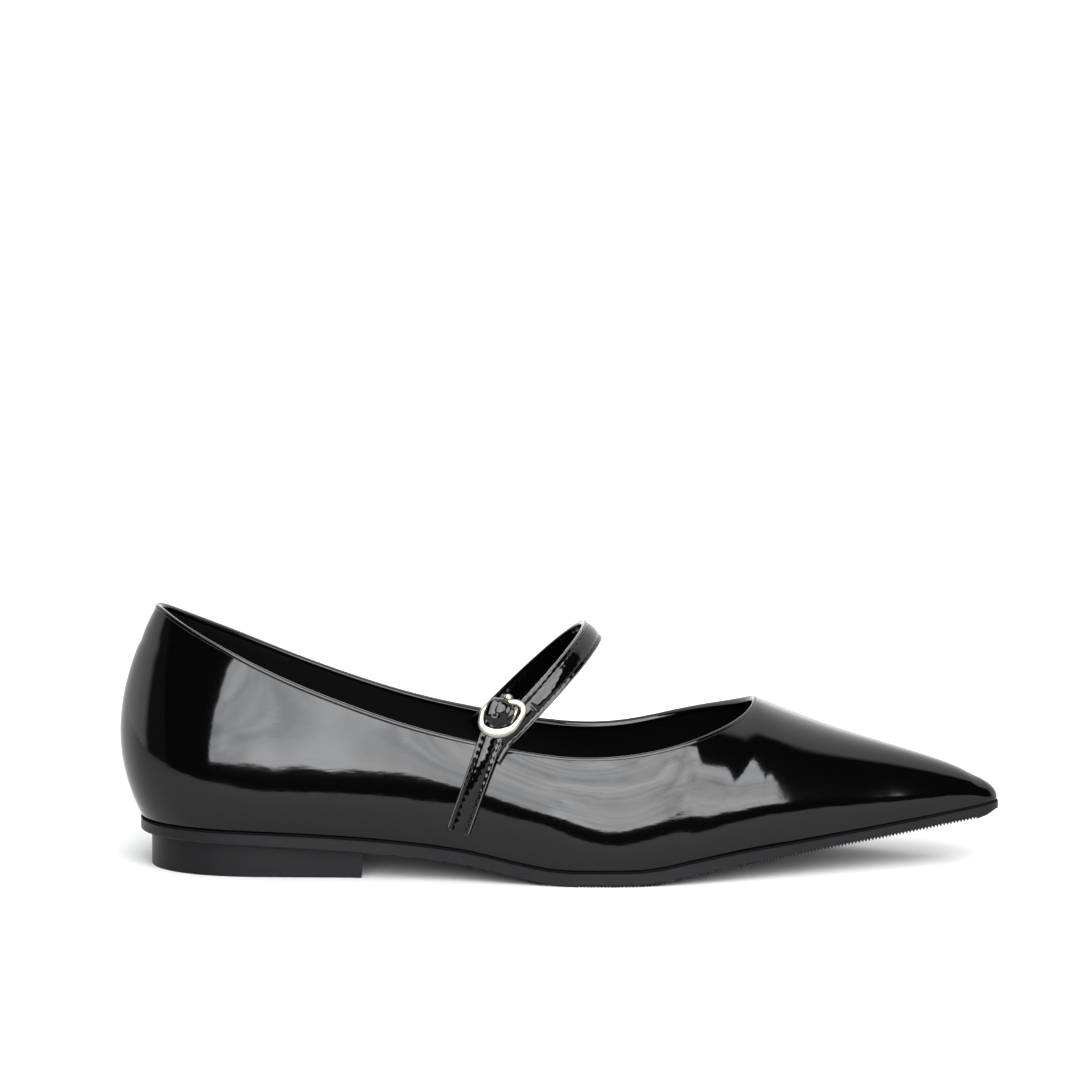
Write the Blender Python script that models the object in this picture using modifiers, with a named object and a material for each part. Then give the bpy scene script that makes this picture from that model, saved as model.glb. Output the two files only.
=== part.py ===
"""Pointed toe flat shoe with an instep strap, a right shoe, modelled in metres.

+X runs from the heel to the toe, +Y to the inner (medial) side and +Z up. The origin
is the centre of the heel's ground face. The two sides of the shoe are called lateral
(-Y, where the buckle is) and medial (+Y).
"""

import math
from collections import namedtuple

import bmesh
import bpy
import numpy as np

# Driving dimensions of the shoe
SHOE_LENGTH = 0.256  # rearmost bulge of the heel to the toe tip
BALL_WIDTH = 0.077  # across the feather line at the ball
BACK_HEIGHT = 0.0761  # floor to the top of the back
INSTEP_HEIGHT = 0.0490  # floor to the throat of the vamp
WALL = 0.0018  # patent leather and its lining
GAP = 0.0003  # between pieces that touch
THROAT_EASE = 0.0090  # the wall is evened out this far before and behind the throat

# Driving dimensions of the bottom
HEEL_HEIGHT = 0.0105  # floor to the underside of the sole at the back
TOE_SPRING = 0.0139  # floor to the underside of the sole at the toe
SOLE_THICKNESS = 0.0040  # at the ball
SOLE_MARGIN = 0.0005  # the sole's edge stands outside the feather line
SOLE_CHAMFER = 0.0006
HEEL_LENGTH = 0.0616
HEEL_INSET = 0.0032  # the heel block stands inside the edge of the sole
INSOLE_THICKNESS = 0.0030
INSOLE_TOE_THICKNESS = 0.0012  # the insole is thinned towards the toe
INSOLE_CLEARANCE = 0.0006
INSOLE_REACH = 0.962  # its blunt end, as a share of the shoe's length

# Driving dimensions of the strap and its buckle
STRAP_WIDTH = 0.0070
STRAP_THICKNESS = 0.0018
STRAP_POSITION = 0.1110  # foot of the hoop, from the rearmost bulge
STRAP_FOOT = 0.0024  # foot of the hoop above the topline
STRAP_RISE = 0.0268  # foot of the hoop to its apex, upwards
STRAP_LEAN = math.radians(44.5)  # the hoop leans forward from upright
STRAP_TAIL = 0.0056  # the strap's end hangs below the hoop's foot behind the tab
STRAP_ANCHOR = 0.0080  # length sewn down inside the medial wall
TAB_WIDTH = 0.0068
TAB_THICKNESS = 0.0014
TAB_LEAN = math.radians(19.0)  # the tab leans forward from upright
TAB_HEIGHT = 0.0356  # lower end to the buckle's bar, upwards
TAB_FLAP = 0.0052  # folded end of the tab, below the buckle's bar
BUCKLE_UP = 0.0093  # the buckle's bar above the foot of the hoop
BUCKLE_TILT = math.radians(5.5)  # the buckle leans in over the foot
BUCKLE_WIDTH = 0.0140
BUCKLE_DEPTH = 0.0094
BUCKLE_BAND = 0.0022
BUCKLE_THICKNESS = 0.0016
BUCKLE_SHIFT = 0.0004  # the buckle's middle lies forward of the tab's
BAR_RADIUS = 0.0008
BAR_LENGTH = 0.0088  # its straight stretch
PRONG_RADIUS = 0.0005
PRONG_LENGTH = 0.0060

# How finely the curved pieces are divided
COLUMNS_PER_SECTION = 3
WALL_ROWS = 9
HOOP_STEPS = 28
TAB_STEPS = 14
FOLD_STEPS = 8
CORNER_STEPS = 5
BOW_STEPS = 18

# Sections of the last, from the toe tip to the back of the heel. The feather line is
# the upper's bottom edge, and the top is the ridge of the vamp up to the throat and
# the topline behind it. Forward places are shares of the shoe's length from the
# rearmost bulge, sideways places are shares of the ball's width from the centre
# plane, and the top's height is a share of the instep's height and one of the back's.
# The wall leaves the feather line towards a point swell outside it and rise up, and
# meets the top from a point crown outside it and drop down: swell and crown are
# shares of the ball's width, rise and drop of the wall's height.
Section = namedtuple(
    "Section",
    "foot_x foot_lateral foot_medial top_x top_lateral top_medial"
    " of_instep of_back swell rise crown drop",
)
SECTIONS = [
    Section(0.9985, -0.026, 0.026, 0.9780, -0.026, 0.026, 0.498, 0.0, 0.010, 0.45, 0.036, 0.0),
    Section(0.9905, 0.016, 0.068, 0.9710, -0.025, 0.025, 0.516, 0.0, 0.012, 0.48, 0.036, 0.0),
    Section(0.9740, 0.042, 0.090, 0.9590, -0.024, 0.024, 0.549, 0.0, 0.012, 0.50, 0.064, 0.0),
    Section(0.9340, 0.100, 0.136, 0.9260, -0.020, 0.020, 0.618, 0.0, 0.016, 0.54, 0.100, -0.01),
    Section(0.8630, 0.190, 0.240, 0.8590, -0.012, 0.012, 0.728, 0.0, 0.018, 0.56, 0.153, -0.02),
    Section(0.7890, 0.286, 0.344, 0.7910, -0.005, 0.005, 0.845, 0.0, 0.018, 0.56, 0.215, -0.02),
    Section(0.7270, 0.368, 0.420, 0.7210, 0.0, 0.0, 0.990, 0.0, 0.018, 0.54, 0.255, -0.02),
    Section(0.6840, 0.421, 0.461, 0.7060, 0.180, 0.180, 0.932, 0.0, 0.012, 0.43, 0.155, 0.17),
    Section(0.6410, 0.465, 0.486, 0.6560, 0.330, 0.330, 0.842, 0.0, 0.005, 0.38, 0.088, 0.24),
    Section(0.5740, 0.501, 0.481, 0.5780, 0.366, 0.360, 0.750, 0.0, 0.006, 0.36, 0.109, 0.28),
    Section(0.5080, 0.494, 0.438, 0.5080, 0.374, 0.352, 0.742, 0.0, 0.002, 0.38, 0.118, 0.27),
    Section(0.4300, 0.444, 0.372, 0.4260, 0.364, 0.344, 0.502, 0.197, 0.005, 0.37, 0.080, 0.28),
    Section(0.3440, 0.392, 0.322, 0.3400, 0.346, 0.330, 0.250, 0.424, 0.021, 0.36, 0.037, 0.32),
    Section(0.2580, 0.364, 0.320, 0.2580, 0.320, 0.314, 0.0, 0.673, 0.036, 0.34, 0.025, 0.34),
    Section(0.1800, 0.356, 0.336, 0.1840, 0.290, 0.290, 0.0, 0.771, 0.042, 0.29, 0.034, 0.32),
    Section(0.1130, 0.332, 0.325, 0.1230, 0.232, 0.234, 0.0, 0.866, 0.063, 0.27, 0.068, 0.28),
    Section(0.0600, 0.252, 0.252, 0.0730, 0.142, 0.144, 0.0, 0.949, 0.098, 0.27, 0.097, 0.30),
    Section(0.0320, 0.138, 0.138, 0.0490, 0.066, 0.066, 0.0, 0.993, 0.122, 0.28, 0.119, 0.33),
    Section(0.0246, 0.0, 0.0, 0.0422, 0.0, 0.0, 0.0, 1.0, 0.148, 0.33, 0.142, 0.33),
]
THROAT = 6  # the section where the vamp ends and the opening begins

# The underside of the sole. Its height is a share of the heel's height and one of the
# toe spring, and the sole's thickness is a share of that at the ball.
Bottom = namedtuple("Bottom", "x of_heel of_spring of_thickness")
BOTTOMS = [
    Bottom(0.000, 1.010, 0.0, 0.76),
    Bottom(0.129, 0.943, 0.0, 0.87),
    Bottom(0.258, 0.781, 0.0, 0.95),
    Bottom(0.320, 0.686, 0.0, 0.93),
    Bottom(0.389, 0.505, 0.0, 0.95),
    Bottom(0.457, 0.175, 0.0, 0.98),
    Bottom(0.492, 0.036, 0.0, 1.00),
    Bottom(0.520, 0.0, 0.0, 1.02),
    Bottom(0.586, 0.0, 0.0, 1.04),
    Bottom(0.613, 0.0, 0.040, 1.05),
    Bottom(0.645, 0.0, 0.142, 1.05),
    Bottom(0.711, 0.0, 0.333, 1.00),
    Bottom(0.785, 0.0, 0.505, 0.87),
    Bottom(0.859, 0.0, 0.667, 0.83),
    Bottom(0.934, 0.0, 0.845, 0.83),
    Bottom(0.982, 0.0, 0.957, 0.88),
    Bottom(1.000, 0.0, 1.100, 0.55),
]

HEEL_BACK = SECTIONS[-1].foot_x * SHOE_LENGTH - SOLE_MARGIN + HEEL_INSET
HEEL_BREAST = HEEL_BACK + HEEL_LENGTH
ORIGIN_X = (HEEL_BACK + HEEL_BREAST) / 2  # from the rearmost bulge


class Curve:
    """A smooth curve through values at knots: a cubic spline, closed or with free ends,
    or a steady one that never swings past its values, level at its ends or leaving its
    first value on a slope."""

    def __init__(self, knots, values, kind="free"):
        self.knots = np.array(knots, float)
        self.values = np.array(values, float)
        if kind in ("steady", "leaving"):
            self.slopes = self.steady()
            if kind == "leaving":
                self.slopes[0] = (self.values[1] - self.values[0]) / (self.knots[1] - self.knots[0])
        else:
            self.slopes = self.spline(kind == "closed")

    def spline(self, closed):
        steps = np.diff(self.knots)
        chords = np.diff(self.values) / steps
        count = len(self.values)
        matrix = np.zeros((count, count))
        right = np.zeros(count)
        for i in range(1, count - 1):
            matrix[i, i - 1] = 1 / steps[i - 1]
            matrix[i, i + 1] = 1 / steps[i]
            matrix[i, i] = 2 * (matrix[i, i - 1] + matrix[i, i + 1])
            right[i] = 3 * (chords[i - 1] / steps[i - 1] + chords[i] / steps[i])
        if closed:
            matrix[0, -2] = 1 / steps[-1]
            matrix[0, 1] = 1 / steps[0]
            matrix[0, 0] = 2 * (matrix[0, -2] + matrix[0, 1])
            right[0] = 3 * (chords[-1] / steps[-1] + chords[0] / steps[0])
            matrix[-1, 0] = 1
            matrix[-1, -1] = -1
        else:
            matrix[0, :2] = 2, 1
            right[0] = 3 * chords[0]
            matrix[-1, -2:] = 1, 2
            right[-1] = 3 * chords[-1]
        return np.linalg.solve(matrix, right)

    def steady(self):
        steps = np.diff(self.knots)
        chords = np.diff(self.values) / steps
        slopes = np.zeros(len(self.values))
        for i in range(1, len(chords)):
            before, after = chords[i - 1], chords[i]
            if before * after > 0:
                slopes[i] = 2 * before * after / (before + after)
        return slopes

    def __call__(self, at):
        i = int(np.clip(np.searchsorted(self.knots, at, side="right") - 1, 0, len(self.knots) - 2))
        step = self.knots[i + 1] - self.knots[i]
        t = (at - self.knots[i]) / step
        return (
            (1 + 2 * t) * (1 - t) ** 2 * self.values[i]
            + t * (1 - t) ** 2 * step * self.slopes[i]
            + t * t * (3 - 2 * t) * self.values[i + 1]
            + t * t * (t - 1) * step * self.slopes[i + 1]
        )


class Last:
    """The form that the shoe is built on: its plan, its wall and its bottom."""

    def __init__(self):
        rows = SECTIONS
        steps = [
            math.hypot(
                (b.foot_x - a.foot_x) * SHOE_LENGTH,
                (b.foot_lateral - a.foot_lateral) * BALL_WIDTH,
            )
            for a, b in zip(rows, rows[1:])
        ]
        self.stations = np.concatenate([[0], np.cumsum(steps)])
        self.back = self.stations[-1]
        self.throat = self.stations[THROAT]
        self.foot_x = self.loop("foot_x", "foot_x", SHOE_LENGTH, 1, 0)
        self.foot_y = self.loop("foot_lateral", "foot_medial", BALL_WIDTH, -1, 0)
        self.open_x = self.loop("top_x", "top_x", SHOE_LENGTH, 1, THROAT)
        self.open_y = self.loop("top_lateral", "top_medial", BALL_WIDTH, -1, THROAT)
        heights = [r.of_instep * INSTEP_HEIGHT + r.of_back * BACK_HEIGHT for r in rows]
        both = heights[THROAT:] + heights[-2 : THROAT - 1 : -1]
        self.open_z = Curve(self.around(THROAT), both, "closed")
        vamp = self.stations[: THROAT + 1]
        self.ridge_x = Curve(vamp, [r.top_x * SHOE_LENGTH for r in rows[: THROAT + 1]])
        self.ridge_y = Curve(vamp, [r.top_medial * BALL_WIDTH for r in rows[: THROAT + 1]])
        self.ridge_z = Curve(vamp, heights[: THROAT + 1])
        self.swell = self.split([r.swell * BALL_WIDTH for r in rows])
        self.rise = self.split([r.rise for r in rows])
        self.crown = self.split([r.crown * BALL_WIDTH for r in rows])
        self.drop = self.split([r.drop for r in rows])
        places = [b.x * SHOE_LENGTH for b in BOTTOMS]
        treads = [b.of_heel * HEEL_HEIGHT + b.of_spring * TOE_SPRING for b in BOTTOMS]
        self.tread_z = Curve(places, treads, "steady")
        self.thickness = Curve(places, [b.of_thickness * SOLE_THICKNESS for b in BOTTOMS], "steady")

    def around(self, first):
        lateral = self.stations[first:]
        return np.concatenate([lateral, 2 * self.back - lateral[-2::-1]])

    def loop(self, lateral, medial, size, sign, first):
        near = [sign * getattr(r, lateral) * size for r in SECTIONS[first:]]
        far = [getattr(r, medial) * size for r in SECTIONS[first:]]
        return Curve(self.around(first), near + far[-2::-1], "closed")

    def split(self, values):
        """A curve along the stations that may turn sharply at the throat."""
        vamp = Curve(self.stations[: THROAT + 1], values[: THROAT + 1], "steady")
        sides = Curve(self.stations[THROAT:], values[THROAT:], "leaving")
        return lambda station: vamp(station) if station < self.throat else sides(station)

    def seat_z(self, x):
        return self.tread_z(x) + self.thickness(x)

    def foot(self, along, out=0.0):
        """Point of the feather line, moved out in plan, and the outward direction there."""
        step = 1e-5
        end = 2 * self.back
        here = np.array([self.foot_x(along), self.foot_y(along)])
        ahead = np.array([self.foot_x((along + step) % end), self.foot_y((along + step) % end)])
        behind = np.array([self.foot_x((along - step) % end), self.foot_y((along - step) % end)])
        tangent = (ahead - behind) / np.linalg.norm(ahead - behind)
        outward = np.array([-tangent[1], tangent[0]])
        return here + outward * out, outward

    def top(self, along):
        """Point of the vamp's ridge or of the topline."""
        station = min(along, 2 * self.back - along)
        if station <= self.throat:
            return np.array([self.ridge_x(station), self.ridge_y(station), self.ridge_z(station)])
        return np.array([self.open_x(along), self.open_y(along), self.open_z(along)])

    def slope(self, station):
        """Fall of the vamp's ridge for each metre forwards."""
        step = 1e-5
        low, high = max(station - step, 0.0), min(station + step, self.throat)
        return (self.ridge_z(high) - self.ridge_z(low)) / (self.ridge_x(high) - self.ridge_x(low))

    def wall(self, along, height):
        """Point of the upper's outer face, from the feather line at 0 to the top at 1,
        evened out near the throat, where the vamp's ridge meets the topline."""
        station = min(along, 2 * self.back - along)
        nearness = max(0.0, 1 - abs(station - self.throat) / (2 * THROAT_EASE))
        step = THROAT_EASE / 3 * nearness * (1 - height**4)
        if step < 1e-7:
            return self.plain_wall(along, height)
        spread = range(-3, 4)
        return sum((4 - abs(k)) * self.plain_wall(along + k * step, height) for k in spread) / 16

    def plain_wall(self, along, height):
        """Point of the outer face as its own section has it."""
        station = min(along, 2 * self.back - along)
        plan, outward = self.foot(along)
        foot = np.array([plan[0], plan[1], self.seat_z(plan[0]) + GAP])
        top = self.top(along)
        wall_height = top[2] - foot[2]
        low = foot + np.array([*outward * self.swell(station), wall_height * self.rise(station)])
        ahead = max(outward[0], 0.0) * self.slope(min(station, self.throat))
        lean = np.array([outward[0], outward[1], ahead]) * self.crown(station)
        high = top + lean - np.array([0.0, 0.0, wall_height * self.drop(station)])
        t = height
        return (
            (1 - t) ** 3 * foot
            + 3 * t * (1 - t) ** 2 * low
            + 3 * t * t * (1 - t) * high
            + t**3 * top
        )

    def wall_frame(self, along, height):
        """Point of the outer face with its outward normal."""
        step = 1e-3
        here = self.wall(along, height)
        up = self.wall(along, height + step) - self.wall(along, height - step)
        across = self.wall(along + step * self.back, height) - self.wall(
            along - step * self.back, height
        )
        normal = np.cross(up, across)
        return here, normal / np.linalg.norm(normal)

    def wall_at(self, x, z, side):
        """Point and outward normal of the outer face at a place seen from the side,
        where side is -1 for lateral and 1 for medial."""
        station = self.station_at(x)
        along = station if side < 0 else 2 * self.back - station
        low, high = 0.0, 1.0
        for _ in range(30):
            middle = (low + high) / 2
            if self.wall(along, middle)[2] < z:
                low = middle
            else:
                high = middle
        return self.wall_frame(along, min(low, 0.995))

    def station_at(self, x):
        """Station on the lateral side whose feather point lies at x from the rearmost bulge."""
        low, high = 0.0, self.back
        for _ in range(40):
            middle = (low + high) / 2
            if self.foot_x(middle) > x:
                low = middle
            else:
                high = middle
        return low

    def columns(self):
        """Stations from the toe tip to the back, closer together where sections are."""
        stations = []
        for a, b in zip(self.stations, self.stations[1:]):
            stations += list(np.linspace(a, b, COLUMNS_PER_SECTION + 1)[:-1])
        return stations + [self.back]


def clear_scene():
    for item in list(bpy.data.objects):
        bpy.data.objects.remove(item, do_unlink=True)


def make_material(name, colour, roughness, metallic=0.0):
    material = bpy.data.materials.new(name)
    material.use_nodes = True
    shader = material.node_tree.nodes["Principled BSDF"]
    shader.inputs["Base Color"].default_value = (*colour, 1.0)
    shader.inputs["Roughness"].default_value = roughness
    shader.inputs["Metallic"].default_value = metallic
    return material


def loft(rings, ring_closed=True, path_closed=False, capped=True):
    """A mesh through rings of points, each ring as long as the next."""
    bm = bmesh.new()
    verts = [[bm.verts.new(point) for point in ring] for ring in rings]
    count = len(rings[0])
    pairs = list(zip(verts, verts[1:]))
    if path_closed:
        pairs.append((verts[-1], verts[0]))
    for one, two in pairs:
        for j in range(count if ring_closed else count - 1):
            k = (j + 1) % count
            bm.faces.new((one[j], one[k], two[k], two[j]))
    if capped and not path_closed:
        bm.faces.new(verts[0])
        bm.faces.new(verts[-1][::-1])
    return bm


def add_object(name, bm, material, collection, recalculate=True):
    if recalculate:
        bmesh.ops.recalc_face_normals(bm, faces=bm.faces)
    mesh = bpy.data.meshes.new(name)
    bm.to_mesh(mesh)
    bm.free()
    mesh.materials.append(material)
    mesh.shade_smooth()
    mesh.set_sharp_from_angle(angle=math.radians(40))
    piece = bpy.data.objects.new(name, mesh)
    collection.objects.link(piece)
    return piece


def add_bevel(piece, width, segments=1):
    bevel = piece.modifiers.new("Bevel", "BEVEL")
    bevel.width = width
    bevel.segments = segments
    bevel.limit_method = "ANGLE"
    bevel.angle_limit = math.radians(50)


def slab(pairs, top, bottom, capped_start=False):
    """A plate between two heights that vary along X, through pairs of plan points from
    the lateral to the medial edge. A pair at one point closes the plate."""
    rings = []
    for lateral, medial in pairs:
        rings.append(
            [
                (lateral[0] - ORIGIN_X, lateral[1], bottom(lateral[0])),
                (lateral[0] - ORIGIN_X, lateral[1], top(lateral[0])),
                (medial[0] - ORIGIN_X, medial[1], top(medial[0])),
                (medial[0] - ORIGIN_X, medial[1], bottom(medial[0])),
            ]
        )
    bm = loft(rings, capped=False)
    if capped_start:
        bm.verts.ensure_lookup_table()
        bm.faces.new(bm.verts[:4])
    bmesh.ops.remove_doubles(bm, verts=bm.verts, dist=1e-6)
    return bm


def plan_pairs(last, out, stations):
    pairs = []
    for station in stations:
        lateral, _ = last.foot(station, out)
        medial, _ = last.foot((2 * last.back - station) % (2 * last.back), out)
        pairs.append((lateral, medial))
    return pairs


def make_upper(last, material, collection):
    """The whole upper as one wall, open at the foot opening and underneath."""
    stations = last.columns()
    around = stations + [2 * last.back - s for s in stations[-2:0:-1]]
    heights = np.linspace(0, 1, WALL_ROWS)
    columns = []
    for along in around:
        points = [last.wall(along, height) for height in heights]
        columns.append([(p[0] - ORIGIN_X, p[1], p[2]) for p in points])
    bm = loft(columns, ring_closed=False, path_closed=True, capped=False)
    bmesh.ops.remove_doubles(bm, verts=bm.verts, dist=1e-6)
    upper = add_object("upper", bm, material, collection, recalculate=False)
    shell = upper.modifiers.new("Wall", "SOLIDIFY")
    shell.thickness = WALL
    shell.offset = -1
    shell.use_even_offset = True
    return upper


def make_outsole(last, material, collection):
    pairs = plan_pairs(last, SOLE_MARGIN, last.columns())
    bm = slab(pairs, last.seat_z, last.tread_z)
    outsole = add_object("outsole", bm, material, collection)
    add_bevel(outsole, SOLE_CHAMFER)
    return outsole


def make_heel(last, material, collection):
    """A block with a U-shaped plan and a flat breast, under the back of the sole."""
    breast = last.station_at(HEEL_BREAST)
    stations = [breast] + [s for s in last.columns() if s > breast]
    pairs = plan_pairs(last, SOLE_MARGIN - HEEL_INSET, stations)
    pairs[0] = tuple(np.array([HEEL_BREAST, point[1]]) for point in pairs[0])
    bm = slab(pairs, lambda x: last.tread_z(x) - GAP, lambda x: 0.0, capped_start=True)
    heel = add_object("heel_block", bm, material, collection)
    add_bevel(heel, SOLE_CHAMFER / 2)
    return heel


def make_insole(last, material, collection):
    pairs = plan_pairs(last, -(WALL + INSOLE_CLEARANCE), last.columns())
    pairs = [pair for pair in pairs if min(pair[0][0], pair[1][0]) < INSOLE_REACH * SHOE_LENGTH]
    full = 0.80 * SHOE_LENGTH
    end = 0.95 * SHOE_LENGTH

    def top(x):
        share = min(max((x - full) / (end - full), 0.0), 1.0)
        thin = INSOLE_THICKNESS + (INSOLE_TOE_THICKNESS - INSOLE_THICKNESS) * share
        return last.seat_z(x) + GAP + thin

    bm = slab(pairs, top, lambda x: last.seat_z(x) + GAP, capped_start=True)
    return add_object("insole", bm, material, collection)


def blend(low, high, at):
    share = min(max((at - low) / (high - low), 0.0), 1.0)
    return share * share * (3 - 2 * share)


def strip_rings(points, normals, width, thickness):
    """Rectangular sections of a band along a path, with its faces along the normals."""
    points = [np.array(p, float) for p in points]
    rings = []
    for i, (point, normal) in enumerate(zip(points, normals)):
        ahead = points[min(i + 1, len(points) - 1)]
        behind = points[max(i - 1, 0)]
        direction = (ahead - behind) / np.linalg.norm(ahead - behind)
        across = np.cross(direction, normal)
        across /= np.linalg.norm(across)
        face = np.cross(across, direction)
        side = across * width / 2
        depth = face * thickness / 2
        corners = (point - side - depth, point + side - depth, point + side + depth, point - side + depth)
        rings.append([(c[0] - ORIGIN_X, c[1], c[2]) for c in corners])
    return rings


class Fastening:
    """Places shared by the strap, its tab and its buckle, on the lateral side."""

    def __init__(self, last):
        station = last.station_at(STRAP_POSITION)
        lateral = last.top(station)
        medial = last.top(2 * last.back - station)
        self.foot_z = lateral[2] + STRAP_FOOT
        half = STRAP_THICKNESS / 2
        self.lateral_y = lateral[1] - GAP - half
        self.medial_y = medial[1] - WALL - GAP - half
        self.lean = np.array([math.sin(STRAP_LEAN), 0.0, math.cos(STRAP_LEAN)])
        self.up = np.array(
            [
                math.sin(TAB_LEAN),
                math.cos(TAB_LEAN) * math.sin(BUCKLE_TILT),
                math.cos(TAB_LEAN) * math.cos(BUCKLE_TILT),
            ]
        )
        self.across = np.array(
            [
                math.cos(TAB_LEAN),
                -math.sin(TAB_LEAN) * math.sin(BUCKLE_TILT),
                -math.sin(TAB_LEAN) * math.cos(BUCKLE_TILT),
            ]
        )
        self.out = np.array([0.0, -math.cos(BUCKLE_TILT), math.sin(BUCKLE_TILT)])
        tail_z = self.foot_z - STRAP_TAIL
        tail_x = STRAP_POSITION - STRAP_TAIL * math.tan(TAB_LEAN)
        point, normal = last.wall_at(tail_x, tail_z, -1)
        self.tail = point + normal * (GAP + half)
        self.tail_normal = normal
        over = half + GAP + TAB_THICKNESS / 2
        bar_z = self.foot_z + BUCKLE_UP
        self.layer_y = self.tail[1] - over
        rise = bar_z - self.tail[2]
        back = np.array(
            [
                STRAP_POSITION,
                self.layer_y + rise * math.tan(BUCKLE_TILT),
                bar_z,
            ]
        )
        self.fold = BAR_RADIUS + GAP + TAB_THICKNESS / 2
        self.bar = back + self.out * self.fold

    def place(self, across, up, out):
        """Point in the buckle's own directions, from the middle of its bar."""
        return self.bar + self.across * across + self.up * up + self.out * out


def make_strap(last, fastening, material, collection):
    """A band from inside the medial wall, over the opening, to behind the tab."""
    f = fastening
    points = [f.tail]
    normals = [f.tail_normal]
    foot = np.array([STRAP_POSITION, f.lateral_y, f.foot_z])
    middle = (f.lateral_y + f.medial_y) / 2
    half_span = (f.medial_y - f.lateral_y) / 2
    reach = STRAP_RISE / math.cos(STRAP_LEAN)
    for step in range(HOOP_STEPS + 1):
        angle = math.pi * step / HOOP_STEPS
        point = foot * (1, 0, 1) + f.lean * reach * math.sin(angle)
        point[1] = middle - half_span * math.cos(angle)
        normal = f.lean * half_span * math.sin(angle)
        normal[1] = -reach * math.cos(angle)
        points.append(point)
        normals.append(normal / np.linalg.norm(normal))
    inner = WALL + GAP + STRAP_THICKNESS / 2
    for share in (0.5, 1.0):
        down = points[HOOP_STEPS + 1] - f.lean * STRAP_ANCHOR * share
        wall, normal = last.wall_at(down[0], down[2], 1)
        points.append(wall - normal * inner)
        normals.append(normal)
    bm = loft(strip_rings(points, normals, STRAP_WIDTH, STRAP_THICKNESS))
    return add_object("strap", bm, material, collection)


def make_tab(last, fastening, material, collection):
    """A band up the lateral wall, over the strap's end and round the buckle's bar."""
    f = fastening
    layer = GAP + TAB_THICKNESS / 2
    end = f.place(0, 0, -f.fold)
    lift_end = f.tail[2] - GAP
    lift_start = lift_end - STRAP_TAIL - TAB_WIDTH / 2
    points = []
    normals = []
    for step in range(TAB_STEPS):
        drop = TAB_HEIGHT * (1 - step / TAB_STEPS)
        x = end[0] - drop * math.tan(TAB_LEAN)
        z = end[2] - drop
        wall, normal = last.wall_at(x, min(z, lift_end), -1)
        lying = wall + normal * layer
        clear = end[1] - drop * math.tan(BUCKLE_TILT)
        share = blend(lift_start, lift_end, z)
        points.append(np.array([x, lying[1] + (clear - lying[1]) * share, z]))
        mixed = normal + (f.out - normal) * share
        normals.append(mixed / np.linalg.norm(mixed))
    for step in range(FOLD_STEPS + 1):
        angle = math.pi * step / FOLD_STEPS
        points.append(f.place(0, f.fold * math.sin(angle), -f.fold * math.cos(angle)))
        normals.append(f.out * math.cos(angle) - f.up * math.sin(angle))
    for share, sink in ((0.35, 0.05), (0.70, 0.35), (1.0, 0.75)):
        points.append(f.place(0, -TAB_FLAP * share, f.fold * (1 - sink)))
        normals.append(-f.out)
    bm = loft(strip_rings(points, normals, TAB_WIDTH, TAB_THICKNESS))
    return add_object("buckle_tab", bm, material, collection)


def buckle_path():
    """Middle of the buckle's band, across and up from the middle of its bar, with the
    half width of the band there."""
    half = (BUCKLE_WIDTH - BUCKLE_BAND) / 2
    bar = BAR_LENGTH / 2
    low = BUCKLE_DEPTH - BAR_RADIUS - BUCKLE_BAND / 2
    shoulder = low * 0.4
    path = [(-bar, 0.0, BAR_RADIUS), (0.0, 0.0, BAR_RADIUS), (bar, 0.0, BAR_RADIUS)]
    corner = []
    for step in range(1, CORNER_STEPS):
        angle = math.pi / 2 * step / CORNER_STEPS
        width = BAR_RADIUS + (BUCKLE_BAND / 2 - BAR_RADIUS) * step / CORNER_STEPS
        corner.append(
            (
                bar + (half - bar) * math.sin(angle),
                -shoulder * (1 - math.cos(angle)),
                width,
            )
        )
    path += corner
    for step in range(BOW_STEPS + 1):
        angle = math.pi * step / BOW_STEPS
        path.append(
            (
                half * math.cos(angle),
                -shoulder - (low - shoulder) * math.sin(angle) ** 0.9,
                BUCKLE_BAND / 2,
            )
        )
    path += [(-across, up, width) for across, up, width in corner[::-1]]
    return path


def make_buckle(fastening, material, collection):
    """A D-shaped frame: a round bar on top and a band bowed below it."""
    path = buckle_path()
    rings = []
    sides = 8
    for i, (across, up, half_width) in enumerate(path):
        ahead = path[(i + 1) % len(path)]
        behind = path[i - 1]
        run = np.array([ahead[0] - behind[0], ahead[1] - behind[1]])
        run /= np.linalg.norm(run)
        ring = []
        for side in range(sides):
            angle = 2 * math.pi * (side + 0.5) / sides
            aside = half_width * math.cos(angle) / math.cos(math.pi / sides)
            out = BUCKLE_THICKNESS / 2 * math.sin(angle)
            place = fastening.place(
                BUCKLE_SHIFT + across - run[1] * aside, up + run[0] * aside, out
            )
            ring.append((place[0] - ORIGIN_X, place[1], place[2]))
        rings.append(ring)
    bm = loft(rings, path_closed=True)
    return add_object("buckle_frame", bm, material, collection)


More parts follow.
